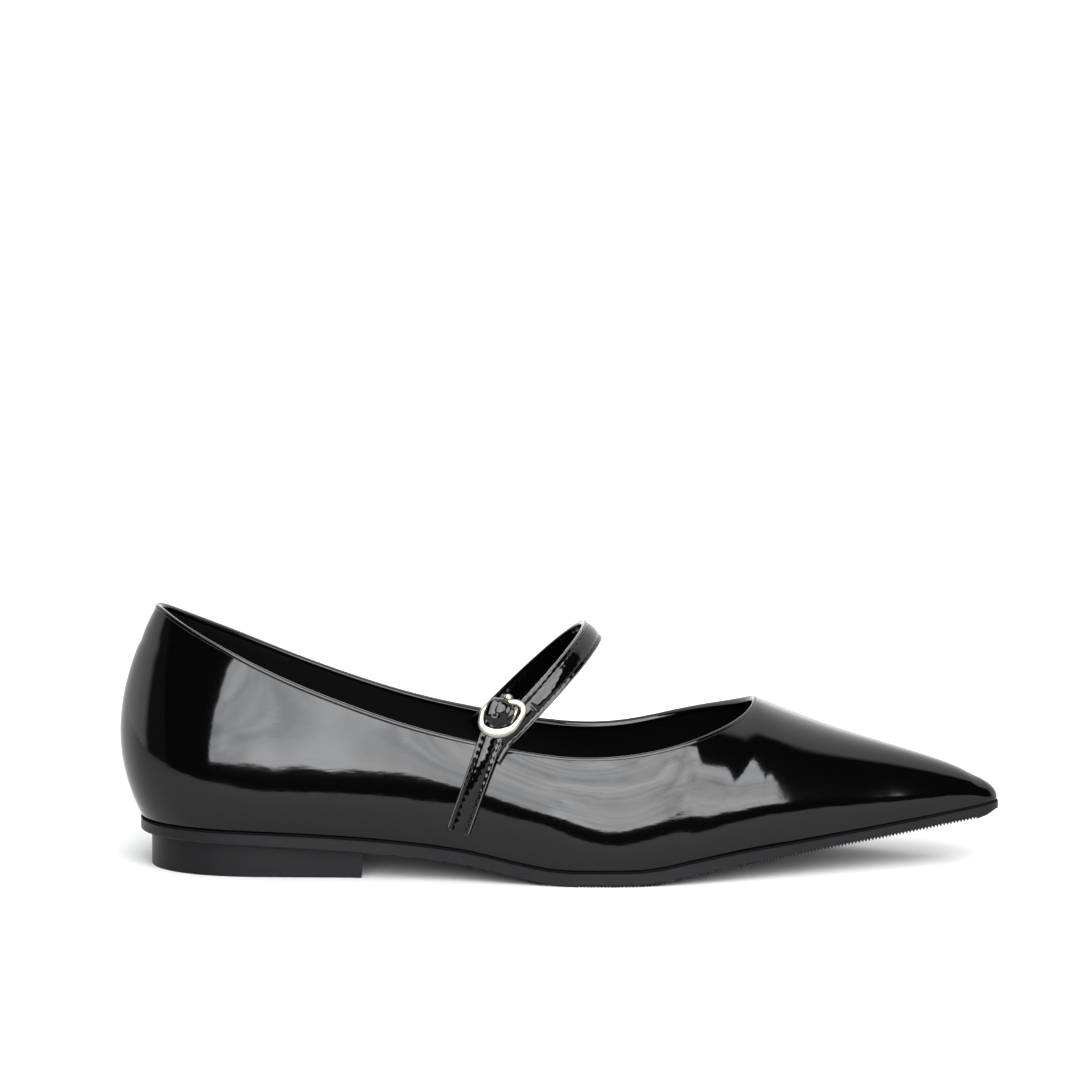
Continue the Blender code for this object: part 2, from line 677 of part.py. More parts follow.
def make_prong(fastening, material, collection):
    """A pin that lies behind the frame and is bent round the free end of the bar."""
    across = (TAB_WIDTH + BAR_LENGTH) / 4 + BUCKLE_SHIFT / 2 + PRONG_RADIUS / 3
    reach = BAR_RADIUS + GAP + PRONG_RADIUS
    turn = math.radians(225)
    route = [(-PRONG_LENGTH, -reach), (-PRONG_LENGTH / 2, -reach)]
    steps = 2 * FOLD_STEPS
    for step in range(steps + 1):
        angle = turn * step / steps
        route.append((reach * math.sin(angle), -reach * math.cos(angle)))
    data = bpy.data.curves.new("buckle_prong", "CURVE")
    data.dimensions = "3D"
    data.bevel_depth = PRONG_RADIUS
    data.bevel_resolution = 2
    data.use_fill_caps = True
    data.materials.append(material)
    spline = data.splines.new("POLY")
    spline.points.add(len(route) - 1)
    for point, (up, out) in zip(spline.points, route):
        place = fastening.place(across, up, out)
        point.co = (place[0] - ORIGIN_X, place[1], place[2], 1.0)
    prong = bpy.data.objects.new("buckle_prong", data)
    collection.objects.link(prong)
    return prong


def main():
    clear_scene()
    collection = bpy.data.collections.new("pointed_toe_flat_shoe")
    bpy.context.scene.collection.children.link(collection)
    patent = make_material("patent_leather", (0.010, 0.010, 0.011), 0.08)
    rubber = make_material("sole_rubber", (0.020, 0.020, 0.023), 0.50)
    block = make_material("heel_rubber", (0.016, 0.016, 0.018), 0.55)
    lining = make_material("lining", (0.012, 0.012, 0.012), 0.70)
    metal = make_material("buckle_metal", (0.80, 0.77, 0.70), 0.22, 1.0)
    last = Last()
    fastening = Fastening(last)
    make_outsole(last, rubber, collection)
    make_heel(last, block, collection)
    make_upper(last, patent, collection)
    make_insole(last, lining, collection)
    make_strap(last, fastening, patent, collection)
    make_tab(last, fastening, patent, collection)
    make_buckle(fastening, metal, collection)
    make_prong(fastening, metal, collection)


main()
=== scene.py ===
import math
import random
from collections import namedtuple

import bmesh
import bpy
import numpy as np
from mathutils import Matrix, Vector


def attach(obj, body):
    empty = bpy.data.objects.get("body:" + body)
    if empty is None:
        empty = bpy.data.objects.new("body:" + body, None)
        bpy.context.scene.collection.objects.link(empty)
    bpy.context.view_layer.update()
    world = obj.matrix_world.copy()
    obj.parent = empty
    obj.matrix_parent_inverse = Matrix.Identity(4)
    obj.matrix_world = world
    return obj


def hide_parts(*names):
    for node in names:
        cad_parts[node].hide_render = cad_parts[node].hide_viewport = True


# Pointed toe flat with an instep strap, a right shoe. +X is the toe, +Y the inner side, +Z up.
# All lengths are in metres; angles in the dictionaries are in degrees.
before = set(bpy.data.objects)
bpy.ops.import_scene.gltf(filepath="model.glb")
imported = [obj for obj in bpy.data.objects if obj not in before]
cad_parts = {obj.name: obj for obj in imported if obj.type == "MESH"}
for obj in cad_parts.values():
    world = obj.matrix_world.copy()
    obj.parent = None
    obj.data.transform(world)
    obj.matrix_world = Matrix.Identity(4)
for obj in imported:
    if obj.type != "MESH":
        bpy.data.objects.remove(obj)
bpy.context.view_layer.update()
print("frame loaded:", ", ".join(sorted(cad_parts)))

lastForm = {
    "length": 0.256,  # heel bulge to toe tip
    "ballWidth": 0.077,
    "backHeight": 0.0761,
    "instepHeight": 0.0490,
    "wall": 0.0018,
    "gap": 0.0003,
    "throatEase": 0.0090,  # the wall is evened out this far before and behind the throat
    "heelHeight": 0.0105,
    "toeSpring": 0.0139,
    "soleThickness": 0.0040,
    "soleMargin": 0.0005,
    "heelInset": 0.0032,
    "heelLength": 0.0616,
    "throat": 6,  # row of the table where the opening starts
}

Section = namedtuple(
    "Section",
    "footX footLateral footMedial topX topLateral topMedial ofInstep ofBack swell rise crown drop",
)
sections = [  # toe tip to back, the same shares of the shoe's sizes as the solids have
    Section(0.9985, -0.026, 0.026, 0.9780, -0.026, 0.026, 0.498, 0.0, 0.010, 0.45, 0.036, 0.0),
    Section(0.9905, 0.016, 0.068, 0.9710, -0.025, 0.025, 0.516, 0.0, 0.012, 0.48, 0.036, 0.0),
    Section(0.9740, 0.042, 0.090, 0.9590, -0.024, 0.024, 0.549, 0.0, 0.012, 0.50, 0.064, 0.0),
    Section(0.9340, 0.100, 0.136, 0.9260, -0.020, 0.020, 0.618, 0.0, 0.016, 0.54, 0.100, -0.01),
    Section(0.8630, 0.190, 0.240, 0.8590, -0.012, 0.012, 0.728, 0.0, 0.018, 0.56, 0.153, -0.02),
    Section(0.7890, 0.286, 0.344, 0.7910, -0.005, 0.005, 0.845, 0.0, 0.018, 0.56, 0.215, -0.02),
    Section(0.7270, 0.368, 0.420, 0.7210, 0.0, 0.0, 0.990, 0.0, 0.018, 0.54, 0.255, -0.02),
    Section(0.6840, 0.421, 0.461, 0.7060, 0.180, 0.180, 0.932, 0.0, 0.012, 0.43, 0.155, 0.17),
    Section(0.6410, 0.465, 0.486, 0.6560, 0.330, 0.330, 0.842, 0.0, 0.005, 0.38, 0.088, 0.24),
    Section(0.5740, 0.501, 0.481, 0.5780, 0.366, 0.360, 0.750, 0.0, 0.006, 0.36, 0.109, 0.28),
    Section(0.5080, 0.494, 0.438, 0.5080, 0.374, 0.352, 0.742, 0.0, 0.002, 0.38, 0.118, 0.27),
    Section(0.4300, 0.444, 0.372, 0.4260, 0.364, 0.344, 0.502, 0.197, 0.005, 0.37, 0.080, 0.28),
    Section(0.3440, 0.392, 0.322, 0.3400, 0.346, 0.330, 0.250, 0.424, 0.021, 0.36, 0.037, 0.32),
    Section(0.2580, 0.364, 0.320, 0.2580, 0.320, 0.314, 0.0, 0.673, 0.036, 0.34, 0.025, 0.34),
    Section(0.1800, 0.356, 0.336, 0.1840, 0.290, 0.290, 0.0, 0.771, 0.042, 0.29, 0.034, 0.32),
    Section(0.1130, 0.332, 0.325, 0.1230, 0.232, 0.234, 0.0, 0.866, 0.063, 0.27, 0.068, 0.28),
    Section(0.0600, 0.252, 0.252, 0.0730, 0.142, 0.144, 0.0, 0.949, 0.098, 0.27, 0.097, 0.30),
    Section(0.0320, 0.138, 0.138, 0.0490, 0.066, 0.066, 0.0, 0.993, 0.122, 0.28, 0.119, 0.33),
    Section(0.0246, 0.0, 0.0, 0.0422, 0.0, 0.0, 0.0, 1.0, 0.148, 0.33, 0.142, 0.33),
]

Bottom = namedtuple("Bottom", "x ofHeel ofSpring ofThickness")
bottoms = [
    Bottom(0.000, 1.010, 0.0, 0.76),
    Bottom(0.129, 0.943, 0.0, 0.87),
    Bottom(0.258, 0.781, 0.0, 0.95),
    Bottom(0.320, 0.686, 0.0, 0.93),
    Bottom(0.389, 0.505, 0.0, 0.95),
    Bottom(0.457, 0.175, 0.0, 0.98),
    Bottom(0.492, 0.036, 0.0, 1.00),
    Bottom(0.520, 0.0, 0.0, 1.02),
    Bottom(0.586, 0.0, 0.0, 1.04),
    Bottom(0.613, 0.0, 0.040, 1.05),
    Bottom(0.645, 0.0, 0.142, 1.05),
    Bottom(0.711, 0.0, 0.333, 1.00),
    Bottom(0.785, 0.0, 0.505, 0.87),
    Bottom(0.859, 0.0, 0.667, 0.83),
    Bottom(0.934, 0.0, 0.845, 0.83),
    Bottom(0.982, 0.0, 0.957, 0.88),
    Bottom(1.000, 0.0, 1.100, 0.55),
]

heelBack = sections[-1].footX * lastForm["length"] - lastForm["soleMargin"] + lastForm["heelInset"]
originX = heelBack + lastForm["heelLength"] / 2  # from the rearmost bulge


class Curve:  # smooth curve through values at knots; "steady" never swings past them
    def __init__(self, knots, values, kind="free"):
        self.knots = np.array(knots, float)
        self.values = np.array(values, float)
        steps = np.diff(self.knots)
        chords = np.diff(self.values) / steps
        count = len(self.values)
        if kind in ("steady", "leaving"):
            product = chords[:-1] * chords[1:]
            total = np.where(product > 0, chords[:-1] + chords[1:], 1)
            first = chords[0] if kind == "leaving" else 0
            self.slopes = np.concatenate([[first], np.where(product > 0, 2 * product / total, 0), [0]])
            return
        matrix = np.zeros((count, count))
        right = np.zeros(count)
        for i in range(1, count - 1):
            matrix[i, i - 1] = 1 / steps[i - 1]
            matrix[i, i + 1] = 1 / steps[i]
            matrix[i, i] = 2 * (matrix[i, i - 1] + matrix[i, i + 1])
            right[i] = 3 * (chords[i - 1] / steps[i - 1] + chords[i] / steps[i])
        if kind == "closed":
            matrix[0, -2] = 1 / steps[-1]
            matrix[0, 1] = 1 / steps[0]
            matrix[0, 0] = 2 * (matrix[0, -2] + matrix[0, 1])
            right[0] = 3 * (chords[-1] / steps[-1] + chords[0] / steps[0])
            matrix[-1, 0] = 1
            matrix[-1, -1] = -1
        else:
            matrix[0, :2] = 2, 1
            right[0] = 3 * chords[0]
            matrix[-1, -2:] = 1, 2
            right[-1] = 3 * chords[-1]
        self.slopes = np.linalg.solve(matrix, right)

    def __call__(self, at):
        i = np.clip(np.searchsorted(self.knots, at, side="right") - 1, 0, len(self.knots) - 2)
        step = self.knots[i + 1] - self.knots[i]
        t = (at - self.knots[i]) / step
        return (
            (1 + 2 * t) * (1 - t) ** 2 * self.values[i]
            + t * (1 - t) ** 2 * step * self.slopes[i]
            + t * t * (3 - 2 * t) * self.values[i + 1]
            + t * t * (t - 1) * step * self.slopes[i + 1]
        )


class Last:  # plan, wall and bottom of the form; "along" runs from the toe tip round the lateral side
    def __init__(self, rows):
        form = lastForm
        length, width = form["length"], form["ballWidth"]
        first = form["throat"]
        steps = [
            math.hypot((b.footX - a.footX) * length, (b.footLateral - a.footLateral) * width)
            for a, b in zip(rows, rows[1:])
        ]
        self.stations = np.concatenate([[0], np.cumsum(steps)])
        self.back = self.stations[-1]
        self.end = 2 * self.back
        self.throat = self.stations[first]
        around = np.concatenate([self.stations, self.end - self.stations[-2::-1]])
        opening = around[first : len(around) - first]

        def loop(near, far, start):
            return near[start:] + (far[start:])[-2::-1]

        footX = [r.footX * length for r in rows]
        topX = [r.topX * length for r in rows]
        heights = [r.ofInstep * form["instepHeight"] + r.ofBack * form["backHeight"] for r in rows]
        self.footX = Curve(around, loop(footX, footX, 0), "closed")
        nearFoot = [-r.footLateral * width for r in rows]
        farFoot = [r.footMedial * width for r in rows]
        nearTop = [-r.topLateral * width for r in rows]
        farTop = [r.topMedial * width for r in rows]
        self.footY = Curve(around, loop(nearFoot, farFoot, 0), "closed")
        self.openX = Curve(opening, loop(topX, topX, first), "closed")
        self.openY = Curve(opening, loop(nearTop, farTop, first), "closed")
        self.openZ = Curve(opening, loop(heights, heights, first), "closed")
        vamp = self.stations[: first + 1]
        self.ridgeX = Curve(vamp, topX[: first + 1])
        self.ridgeY = Curve(vamp, [r.topMedial * width for r in rows[: first + 1]])
        self.ridgeZ = Curve(vamp, heights[: first + 1])
        self.swell = self.split([r.swell * width for r in rows])
        self.rise = self.split([r.rise for r in rows])
        self.crown = self.split([r.crown * width for r in rows])
        self.drop = self.split([r.drop for r in rows])
        places = [b.x * length for b in bottoms]
        treads = [b.ofHeel * form["heelHeight"] + b.ofSpring * form["toeSpring"] for b in bottoms]
        self.treadZ = Curve(places, treads, "steady")
        self.thickness = Curve(places, [b.ofThickness * form["soleThickness"] for b in bottoms], "steady")

    def split(self, values):  # a curve along the stations that may turn sharply at the throat
        first = lastForm["throat"]
        vamp = Curve(self.stations[: first + 1], values[: first + 1], "steady")
        sides = Curve(self.stations[first:], values[first:], "leaving")
        return lambda station: np.where(station < self.throat, vamp(station), sides(station))

    def seatZ(self, x):
        return self.treadZ(x) + self.thickness(x)

    def foot(self, along, out=0.0):  # feather line moved out in plan, and the outward direction
        step = 1e-5
        ahead, behind = (along + step) % self.end, (along - step) % self.end
        dx = self.footX(ahead) - self.footX(behind)
        dy = self.footY(ahead) - self.footY(behind)
        size = np.hypot(dx, dy)
        outX, outY = -dy / size, dx / size
        return self.footX(along) + outX * out, self.footY(along) + outY * out, outX, outY

    def top(self, along):  # ridge of the vamp, or the topline behind the throat
        station = np.minimum(along, self.end - along)
        onVamp = station <= self.throat
        vamp = np.minimum(station, self.throat)
        opening = np.clip(along, self.throat, self.end - self.throat)
        return (
            np.where(onVamp, self.ridgeX(vamp), self.openX(opening)),
            np.where(onVamp, self.ridgeY(vamp), self.openY(opening)),
            np.where(onVamp, self.ridgeZ(vamp), self.openZ(opening)),
        )

    def slope(self, station):  # fall of the vamp's ridge for each metre forwards
        step = 1e-5
        low = np.maximum(station - step, 0.0)
        high = np.minimum(station + step, self.throat)
        return (self.ridgeZ(high) - self.ridgeZ(low)) / (self.ridgeX(high) - self.ridgeX(low))

    def wall(self, along, height):  # outer face, from the feather line at 0 to the top at 1
        along = np.asarray(along, float) % self.end
        t = np.asarray(height, float)
        ease = lastForm["throatEase"]
        station = np.minimum(along, self.end - along)
        nearness = np.maximum(0, 1 - np.abs(station - self.throat) / (2 * ease))
        step = ease / 3 * nearness * (1 - t**4)
        return sum((4 - abs(k)) * self.plainWall(along + k * step, t) for k in range(-3, 4)) / 16

    def plainWall(self, along, t):  # outer face as its own section has it
        along = along % self.end
        station = np.minimum(along, self.end - along)
        footX, footY, outX, outY = self.foot(along)
        footZ = self.seatZ(footX) + lastForm["gap"]
        topX, topY, topZ = self.top(along)
        tall = topZ - footZ
        swell, crown = self.swell(station), self.crown(station)
        ahead = np.maximum(outX, 0.0) * self.slope(np.minimum(station, self.throat))
        weights = (1 - t) ** 3, 3 * t * (1 - t) ** 2, 3 * t * t * (1 - t), t**3
        x = (footX, footX + outX * swell, topX + outX * crown, topX)
        y = (footY, footY + outY * swell, topY + outY * crown, topY)
        z = (footZ, footZ + tall * self.rise(station), topZ + ahead * crown - tall * self.drop(station), topZ)
        return np.stack([sum(w * c for w, c in zip(weights, axis)) for axis in (x, y, z)], axis=-1)

    def wallFrame(self, along, height):  # point of the outer face and its outward normal
        step = 1e-3
        up = self.wall(along, height + step) - self.wall(along, height - step)
        across = self.wall(along + step * self.back, height) - self.wall(along - step * self.back, height)
        normal = np.cross(up, across)
        return self.wall(along, height), normal / np.linalg.norm(normal, axis=-1, keepdims=True)

    def stationAt(self, x):  # lateral station whose feather point lies at x from the rearmost bulge
        low, high = 0.0, self.back
        for _ in range(40):
            middle = (low + high) / 2
            if self.footX(middle) > x:
                low = middle
            else:
                high = middle
        return low

    def wallAt(self, x, z, side):  # point and normal of the outer face seen from the side
        station = self.stationAt(x)
        along = station if side < 0 else self.end - station
        low, high = 0.0, 1.0
        for _ in range(30):
            middle = (low + high) / 2
            if self.wall(along, middle)[2] < z:
                low = middle
            else:
                high = middle
        return self.wallFrame(along, min(low, 0.995))


last = Last(sections)
toRow = np.array([-originX, 0.0, 0.0])
print("last worked out: %.0f mm round one side" % (last.back * 1000))


class Shade:  # a node's output, so that shader maths reads as Python
    def __init__(self, tree, socket=None):
        self.tree = tree
        self.socket = socket

    def node(self, kind, settings, inputs, output=0):
        made = self.tree.nodes.new(kind)
        for key, value in settings.items():
            if key == "stops":
                ramp = made.color_ramp
                while len(ramp.elements) < len(value):
                    ramp.elements.new(0.5)
                for element, (place, colour) in zip(ramp.elements, value):
                    element.position = place
                    element.color = colour
            else:
                setattr(made, key, value)
        for key, value in inputs.items():
            if isinstance(value, Shade):
                self.tree.links.new(value.socket, made.inputs[key])
            else:
                made.inputs[key].default_value = value
        return Shade(self.tree, made.outputs[output])

    def maths(self, operation, *values):
        return self.node("ShaderNodeMath", {"operation": operation}, dict(enumerate(values)))

    def __add__(self, other):
        return self.maths("ADD", self, other)

    def __mul__(self, other):
        return self.maths("MULTIPLY", self, other)

    def __sub__(self, other):
        return self.maths("SUBTRACT", self, other)

    def __rsub__(self, other):
        return self.maths("SUBTRACT", other, self)

    __radd__ = __add__
    __rmul__ = __mul__


def newFinish(name, colour, roughness, metallic=0.0, level=0.5):
    material = bpy.data.materials.new(name)
    material.use_nodes = True
    shader = material.node_tree.nodes["Principled BSDF"]
    shader.inputs["Base Color"].default_value = (*colour, 1.0)
    shader.inputs["Roughness"].default_value = roughness
    shader.inputs["Metallic"].default_value = metallic
    shader.inputs["Specular IOR Level"].default_value = level
    return material, Shade(material.node_tree), shader


def feed(tree, shader, socket, value):
    tree.tree.links.new(value.socket, shader.inputs[socket])


def noiseAt(tree, place, scale, detail=2.0, stretch=(1, 1, 1), turn=(0, 0, 0)):
    moved = tree.node(
        "ShaderNodeMapping", {}, {"Vector": place, "Rotation": turn, "Scale": stretch}
    )
    return tree.node(
        "ShaderNodeTexNoise", {}, {"Vector": moved, "Scale": scale, "Detail": detail}, "Fac"
    )


def bumped(tree, height, depth):
    return tree.node("ShaderNodeBump", {}, {"Height": height, "Distance": depth}, "Normal")


patentLook = {
    "colour": (0.0006, 0.0006, 0.0007),
    "roughness": 0.045,
    "level": 0.29,
    "waveScale": 75,
    "waveDepth": 0.00010,
    "rippleScale": 700,
    "rippleDepth": 0.000009,
    "streakScale": 90,
    "streakDepth": 0.0000026,
}


def patentFinish(name, look, waves=1.0):
    material, tree, shader = newFinish(name, look["colour"], look["roughness"], level=look["level"])
    place = tree.node("ShaderNodeTexCoord", {}, {}, "Object")
    soft = noiseAt(tree, place, look["waveScale"], 1.0)
    ripple = noiseAt(tree, place, look["rippleScale"], 3.0, stretch=(0.45, 1, 1))
    streak = noiseAt(
        tree, place, look["streakScale"], 4.0, stretch=(1, 1, 22), turn=(0, math.radians(28), 0)
    )
    height = soft * (look["waveDepth"] * waves) + ripple * look["rippleDepth"]
    height = height + streak * look["streakDepth"]
    feed(tree, shader, "Normal", bumped(tree, height * 1000, 0.001))
    clouds = noiseAt(tree, place, 45, 3.0, stretch=(0.5, 1, 1.4))
    feed(tree, shader, "Roughness", look["roughness"] + (clouds * streak) * 0.07)
    return material


liningLook = {"colour": (0.0006, 0.0006, 0.0006), "roughness": 0.85, "grain": 1900}
rubberLook = {"colour": (0.0042, 0.0042, 0.0052), "roughness": 0.46, "grain": 2600}
heelLook = {"colour": (0.0032, 0.0032, 0.0038), "roughness": 0.44, "grain": 2200}
threadLook = {"colour": (0.0012, 0.0012, 0.0012), "roughness": 0.85, "grain": 5000}
# grey of the frayed cut fibres, also used as a painted highlight on the pale lines along the bands' edges and
# on the hole's rim
cutEdgeAndHighlightLook = {"colour": (0.050, 0.050, 0.049), "roughness": 0.30, "grain": 3000}
metalLook = {"colour": (0.34, 0.318, 0.262), "roughness": 0.30, "grain": 1400}


def grainFinish(name, look, depth, metallic=0.0, level=0.16):
    material, tree, shader = newFinish(name, look["colour"], look["roughness"], metallic, level)
    place = tree.node("ShaderNodeTexCoord", {}, {}, "Object")
    grain = noiseAt(tree, place, look["grain"], 2.0)
    patch = noiseAt(tree, place, look["grain"] / 22, 3.0)
    feed(tree, shader, "Normal", bumped(tree, grain, depth))
    feed(tree, shader, "Roughness", look["roughness"] - 0.06 + patch * 0.12)
    darker = tuple(0.78 * c for c in look["colour"])
    colour = tree.node(
        "ShaderNodeMix",
        {"data_type": "RGBA"},
        {"Factor": patch, 6: (*darker, 1), 7: (*look["colour"], 1)},
        2,
    )
    feed(tree, shader, "Base Color", colour)
    return material


patent = patentFinish("patentLeather", patentLook)
strapPatent = patentFinish("strapPatent", {**patentLook, "waveScale": 260}, 0.25)
lining = grainFinish("liningCloth", liningLook, 0.00006, level=0.05)
soleRubber = grainFinish("soleRubber", rubberLook, 0.00002)
heelRubber = grainFinish("heelRubber", heelLook, 0.00002)
thread = grainFinish("sewingThread", threadLook, 0.00001, level=0.05)
cutEdgeAndHighlight = grainFinish("cutEdgeAndPaintedHighlight", cutEdgeAndHighlightLook, 0.00001, level=0.4)
buckleMetal = grainFinish("champagneMetal", metalLook, 0.000004, 1.0, 0.5)
print("finishes made")


def gridMesh(acrossSteps, upSteps, place, flip=False, closed=False):
    bm = bmesh.new()
    bmesh.ops.create_grid(bm, x_segments=acrossSteps, y_segments=upSteps, size=0.5)
    where = np.array([v.co[:2] for v in bm.verts]) + 0.5
    for vert, point in zip(bm.verts, place(where[:, 0], where[:, 1])):
        vert.co = point
    bmesh.ops.remove_doubles(bm, verts=bm.verts, dist=2e-6)
    bmesh.ops.dissolve_degenerate(bm, edges=bm.edges, dist=1e-7)
    if closed:
        edges = [e for e in bm.edges if e.is_boundary]
        if edges:
            bmesh.ops.holes_fill(bm, edges=edges, sides=0)
        bmesh.ops.recalc_face_normals(bm, faces=bm.faces)
    elif flip:
        bmesh.ops.reverse_faces(bm, faces=bm.faces)
    return bm


def addPiece(name, bm, materials, sharp=40, rides="root"):
    mesh = bpy.data.meshes.new(name)
    bm.to_mesh(mesh)
    bm.free()
    for material in materials:
        mesh.materials.append(material)
    mesh.shade_smooth()
    mesh.set_sharp_from_angle(angle=math.radians(sharp))
    piece = bpy.data.objects.new(name, mesh)
    bpy.context.scene.collection.objects.link(piece)
    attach(piece, rides)
    return piece


def roundSection(radius, sides):
    turns = np.linspace(0, 2 * np.pi, sides, endpoint=False)
    return [(radius * math.cos(t), radius * math.sin(t)) for t in turns]


def squared(value, power):  # a power that keeps the sign, to square off a round form
    return math.copysign(abs(value) ** power, value)


def unit(vectors):
    return vectors / np.linalg.norm(vectors, axis=-1, keepdims=True)


class Path:  # a smooth path with its faces, sampled evenly; s is the length along it
    def __init__(self, points, normals, spacing, closed=False):
        points, normals = np.array(points), np.array(normals)
        if closed:
            points = np.concatenate([points, points[:1]])
            normals = np.concatenate([normals, normals[:1]])
        lengths = np.concatenate([[0], np.cumsum(np.linalg.norm(np.diff(points, axis=0), axis=1))])
        kind = "closed" if closed else "free"
        steps = max(int(round(lengths[-1] / spacing)), 4)
        self.s = np.linspace(0, lengths[-1], steps + 1)
        if closed:
            self.s = self.s[:-1]
        self.length = lengths[-1]
        self.closed = closed
        self.points = np.stack([Curve(lengths, points[:, k], kind)(self.s) for k in range(3)], axis=1)
        facing = np.stack([np.interp(self.s, lengths, normals[:, k]) for k in range(3)], axis=1)
        if closed:
            along = np.roll(self.points, -1, axis=0) - np.roll(self.points, 1, axis=0)
        else:
            along = np.gradient(self.points, axis=0)
        self.along = unit(along)
        self.across = unit(np.cross(self.along, facing))
        self.out = np.cross(self.across, self.along)

    def sweep(self, section, shape=None):
        section = np.array(section)
        sides, count = len(section), len(self.points)
        steps = count if self.closed else count - 1

        def place(u, v):
            i = np.rint(u * steps).astype(int) % count
            j = np.rint(v * sides).astype(int) % sides
            a, b = section[j, 0], section[j, 1]
            if shape:
                a, b = shape(self.s[i], a, b)
            return self.points[i] + self.across[i] * a[:, None] + self.out[i] * b[:, None] + toRow

        return gridMesh(steps, sides, place, closed=True)

    def at(self, s, a=0.0, b=0.0):
        i = int(np.clip(np.searchsorted(self.s, s), 0, len(self.s) - 1))
        return i, self.points[i] + self.across[i] * a + self.out[i] * b + toRow


# upper
upperLook = {
    "columnsPerSection": 14,
    "rows": 36,
    "creases": [  # side, then from and to in millimetres forward and up, width, depth
        (-1, (93, 23), (101, 27), 0.9, 0.05),
        (-1, (101, 27), (104, 31), 0.8, 0.04),
        (-1, (120, 20), (128, 22), 1.0, 0.04),
        (-1, (143, 40), (151, 37), 1.6, 0.10),
        (-1, (151, 37), (160, 36), 1.6, 0.07),
        (-1, (112, 34), (124, 31), 3.0, 0.10),
        (1, (92, 24), (103, 27), 1.6, 0.10),
        (1, (106, 30), (119, 27), 2.2, 0.12),
        (1, (128, 36), (141, 33), 2.0, 0.10),
    ],
    "pinchHeight": 66.0,
    "pinchDepth": 0.28,
}


def creaseDepth(points, side):  # how far the creases push the wall in, in metres
    x, z = points[:, 0] * 1000, points[:, 2] * 1000
    push = np.zeros(len(points))
    for creaseSide, start, end, width, depth in upperLook["creases"]:
        run = np.subtract(end, start)
        share = ((x - start[0]) * run[0] + (z - start[1]) * run[1]) / (run @ run)
        share = np.clip(share, 0, 1)
        away = np.hypot(x - start[0] - share * run[0], z - start[1] - share * run[1])
        taper = 0.35 + 0.65 * np.sin(np.pi * np.clip(share, 0.05, 0.95))
        here = depth * taper * (np.exp(-((away / width) ** 2)) - 0.4 * np.exp(-((away / width / 2) ** 2)))
        push += np.where(np.sign(side) == creaseSide, here, 0)
    atBack = np.exp(-(((x + 33) / 6) ** 2)) * np.exp(-(((z - upperLook["pinchHeight"]) / 1.6) ** 2))
    return (push + atBack * upperLook["pinchDepth"]) / 1000


def aroundStations(perSection):
    parts = [
        np.linspace(a, b, perSection + 1)[:-1] for a, b in zip(last.stations, last.stations[1:])
    ]
    near = np.concatenate(parts + [[last.back]])
    return np.concatenate([near, (last.end - near)[-2::-1]])


stationsAround = aroundStations(upperLook["columnsPerSection"])


def placeUpper(u, v):
    along = np.interp(u, np.linspace(0, 1, len(stationsAround)), stationsAround)
    along = np.where(u > 0.999999, 0.0, along)
    points, normals = last.wallFrame(along, v)
    points = points + toRow
    ends = np.minimum(along, last.end - along) < 1e-6
    push = np.where(ends, 0, creaseDepth(points, normals[:, 1]))
    fade = np.clip((1 - v) * 12, 0, 1) * np.clip(v * 12, 0, 1)
    return points - normals * (push * fade)[:, None]


bm = gridMesh(len(stationsAround) - 1, upperLook["rows"], placeUpper, flip=True)
upper = addPiece("upperWall", bm, [patent, lining], sharp=60)
shell = upper.modifiers.new("Wall", "SOLIDIFY")
shell.thickness = lastForm["wall"]
shell.offset = -1
shell.use_even_offset = True
shell.material_offset = 1
shell.material_offset_rim = 0
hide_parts("upper")

edgeLook = {
    "points": 420,
    "profile": [  # millimetres out from the wall's face, and up from its top
        (-0.30, -1.20), (0.06, -1.12), (0.20, -0.86), (0.24, -0.52), (0.17, -0.18), (-0.02, 0.05),
        (-0.40, 0.16), (-0.90, 0.19), (-1.40, 0.15), (-1.80, 0.02), (-2.02, -0.22), (-2.10, -0.60),
        (-2.06, -1.00), (-1.92, -1.22), (-1.50, -1.30), (-0.90, -1.30),
    ],
}


def topline(count):  # the edge of the opening, its outward faces, and the way up out of it
    stations = stationsAround[(stationsAround >= last.throat) & (stationsAround < last.end - last.throat)]
    along = np.interp(np.linspace(0, 1, count, endpoint=False), np.linspace(0, 1, len(stations) + 1),
                      np.append(stations, last.end - last.throat))
    points = np.stack(last.top(along), axis=1)
    _, normals = last.wallFrame(along, np.full(count, 0.96))
    for _ in range(6):
        normals = unit(normals + np.roll(normals, 1, axis=0) + np.roll(normals, -1, axis=0))
    return points, normals


points, normals = topline(edgeLook["points"])
edgePath = Path(points, normals, 0.0009, closed=True)
# across points down the wall or up out of it, whichever way the path runs
upward = -1 if np.mean(edgePath.across[:, 2]) < 0 else 1
profile = [(up * upward / 1000, out / 1000) for out, up in edgeLook["profile"]]
edge = addPiece("toplineEdge", edgePath.sweep(profile), [strapPatent], sharp=80)
print("upper and its edge made")

# lining, heel grip and footbed
gripLook = {
    "reach": 0.0480,
    "depth": 0.0004,
    "top": 0.0016,  # below the topline
    "low": 0.30,  # share of the wall's height
    "columns": 150,
    "rows": 14,
    "rounding": 0.00012,
}
gripStart = last.stationAt(gripLook["reach"])


def placeGrip(u, v):
    along = gripStart + (last.end - 2 * gripStart) * u
    tall = np.linalg.norm(last.wall(along, np.ones_like(u)) - last.wall(along, np.full_like(u, 0.9)), axis=1)
    topHeight = 1 - gripLook["top"] * 0.1 / tall
    height = gripLook["low"] + (topHeight - gripLook["low"]) * v
    points, normals = last.wallFrame(along, height)
    return points - normals * (lastForm["wall"] + 0.00003) + toRow


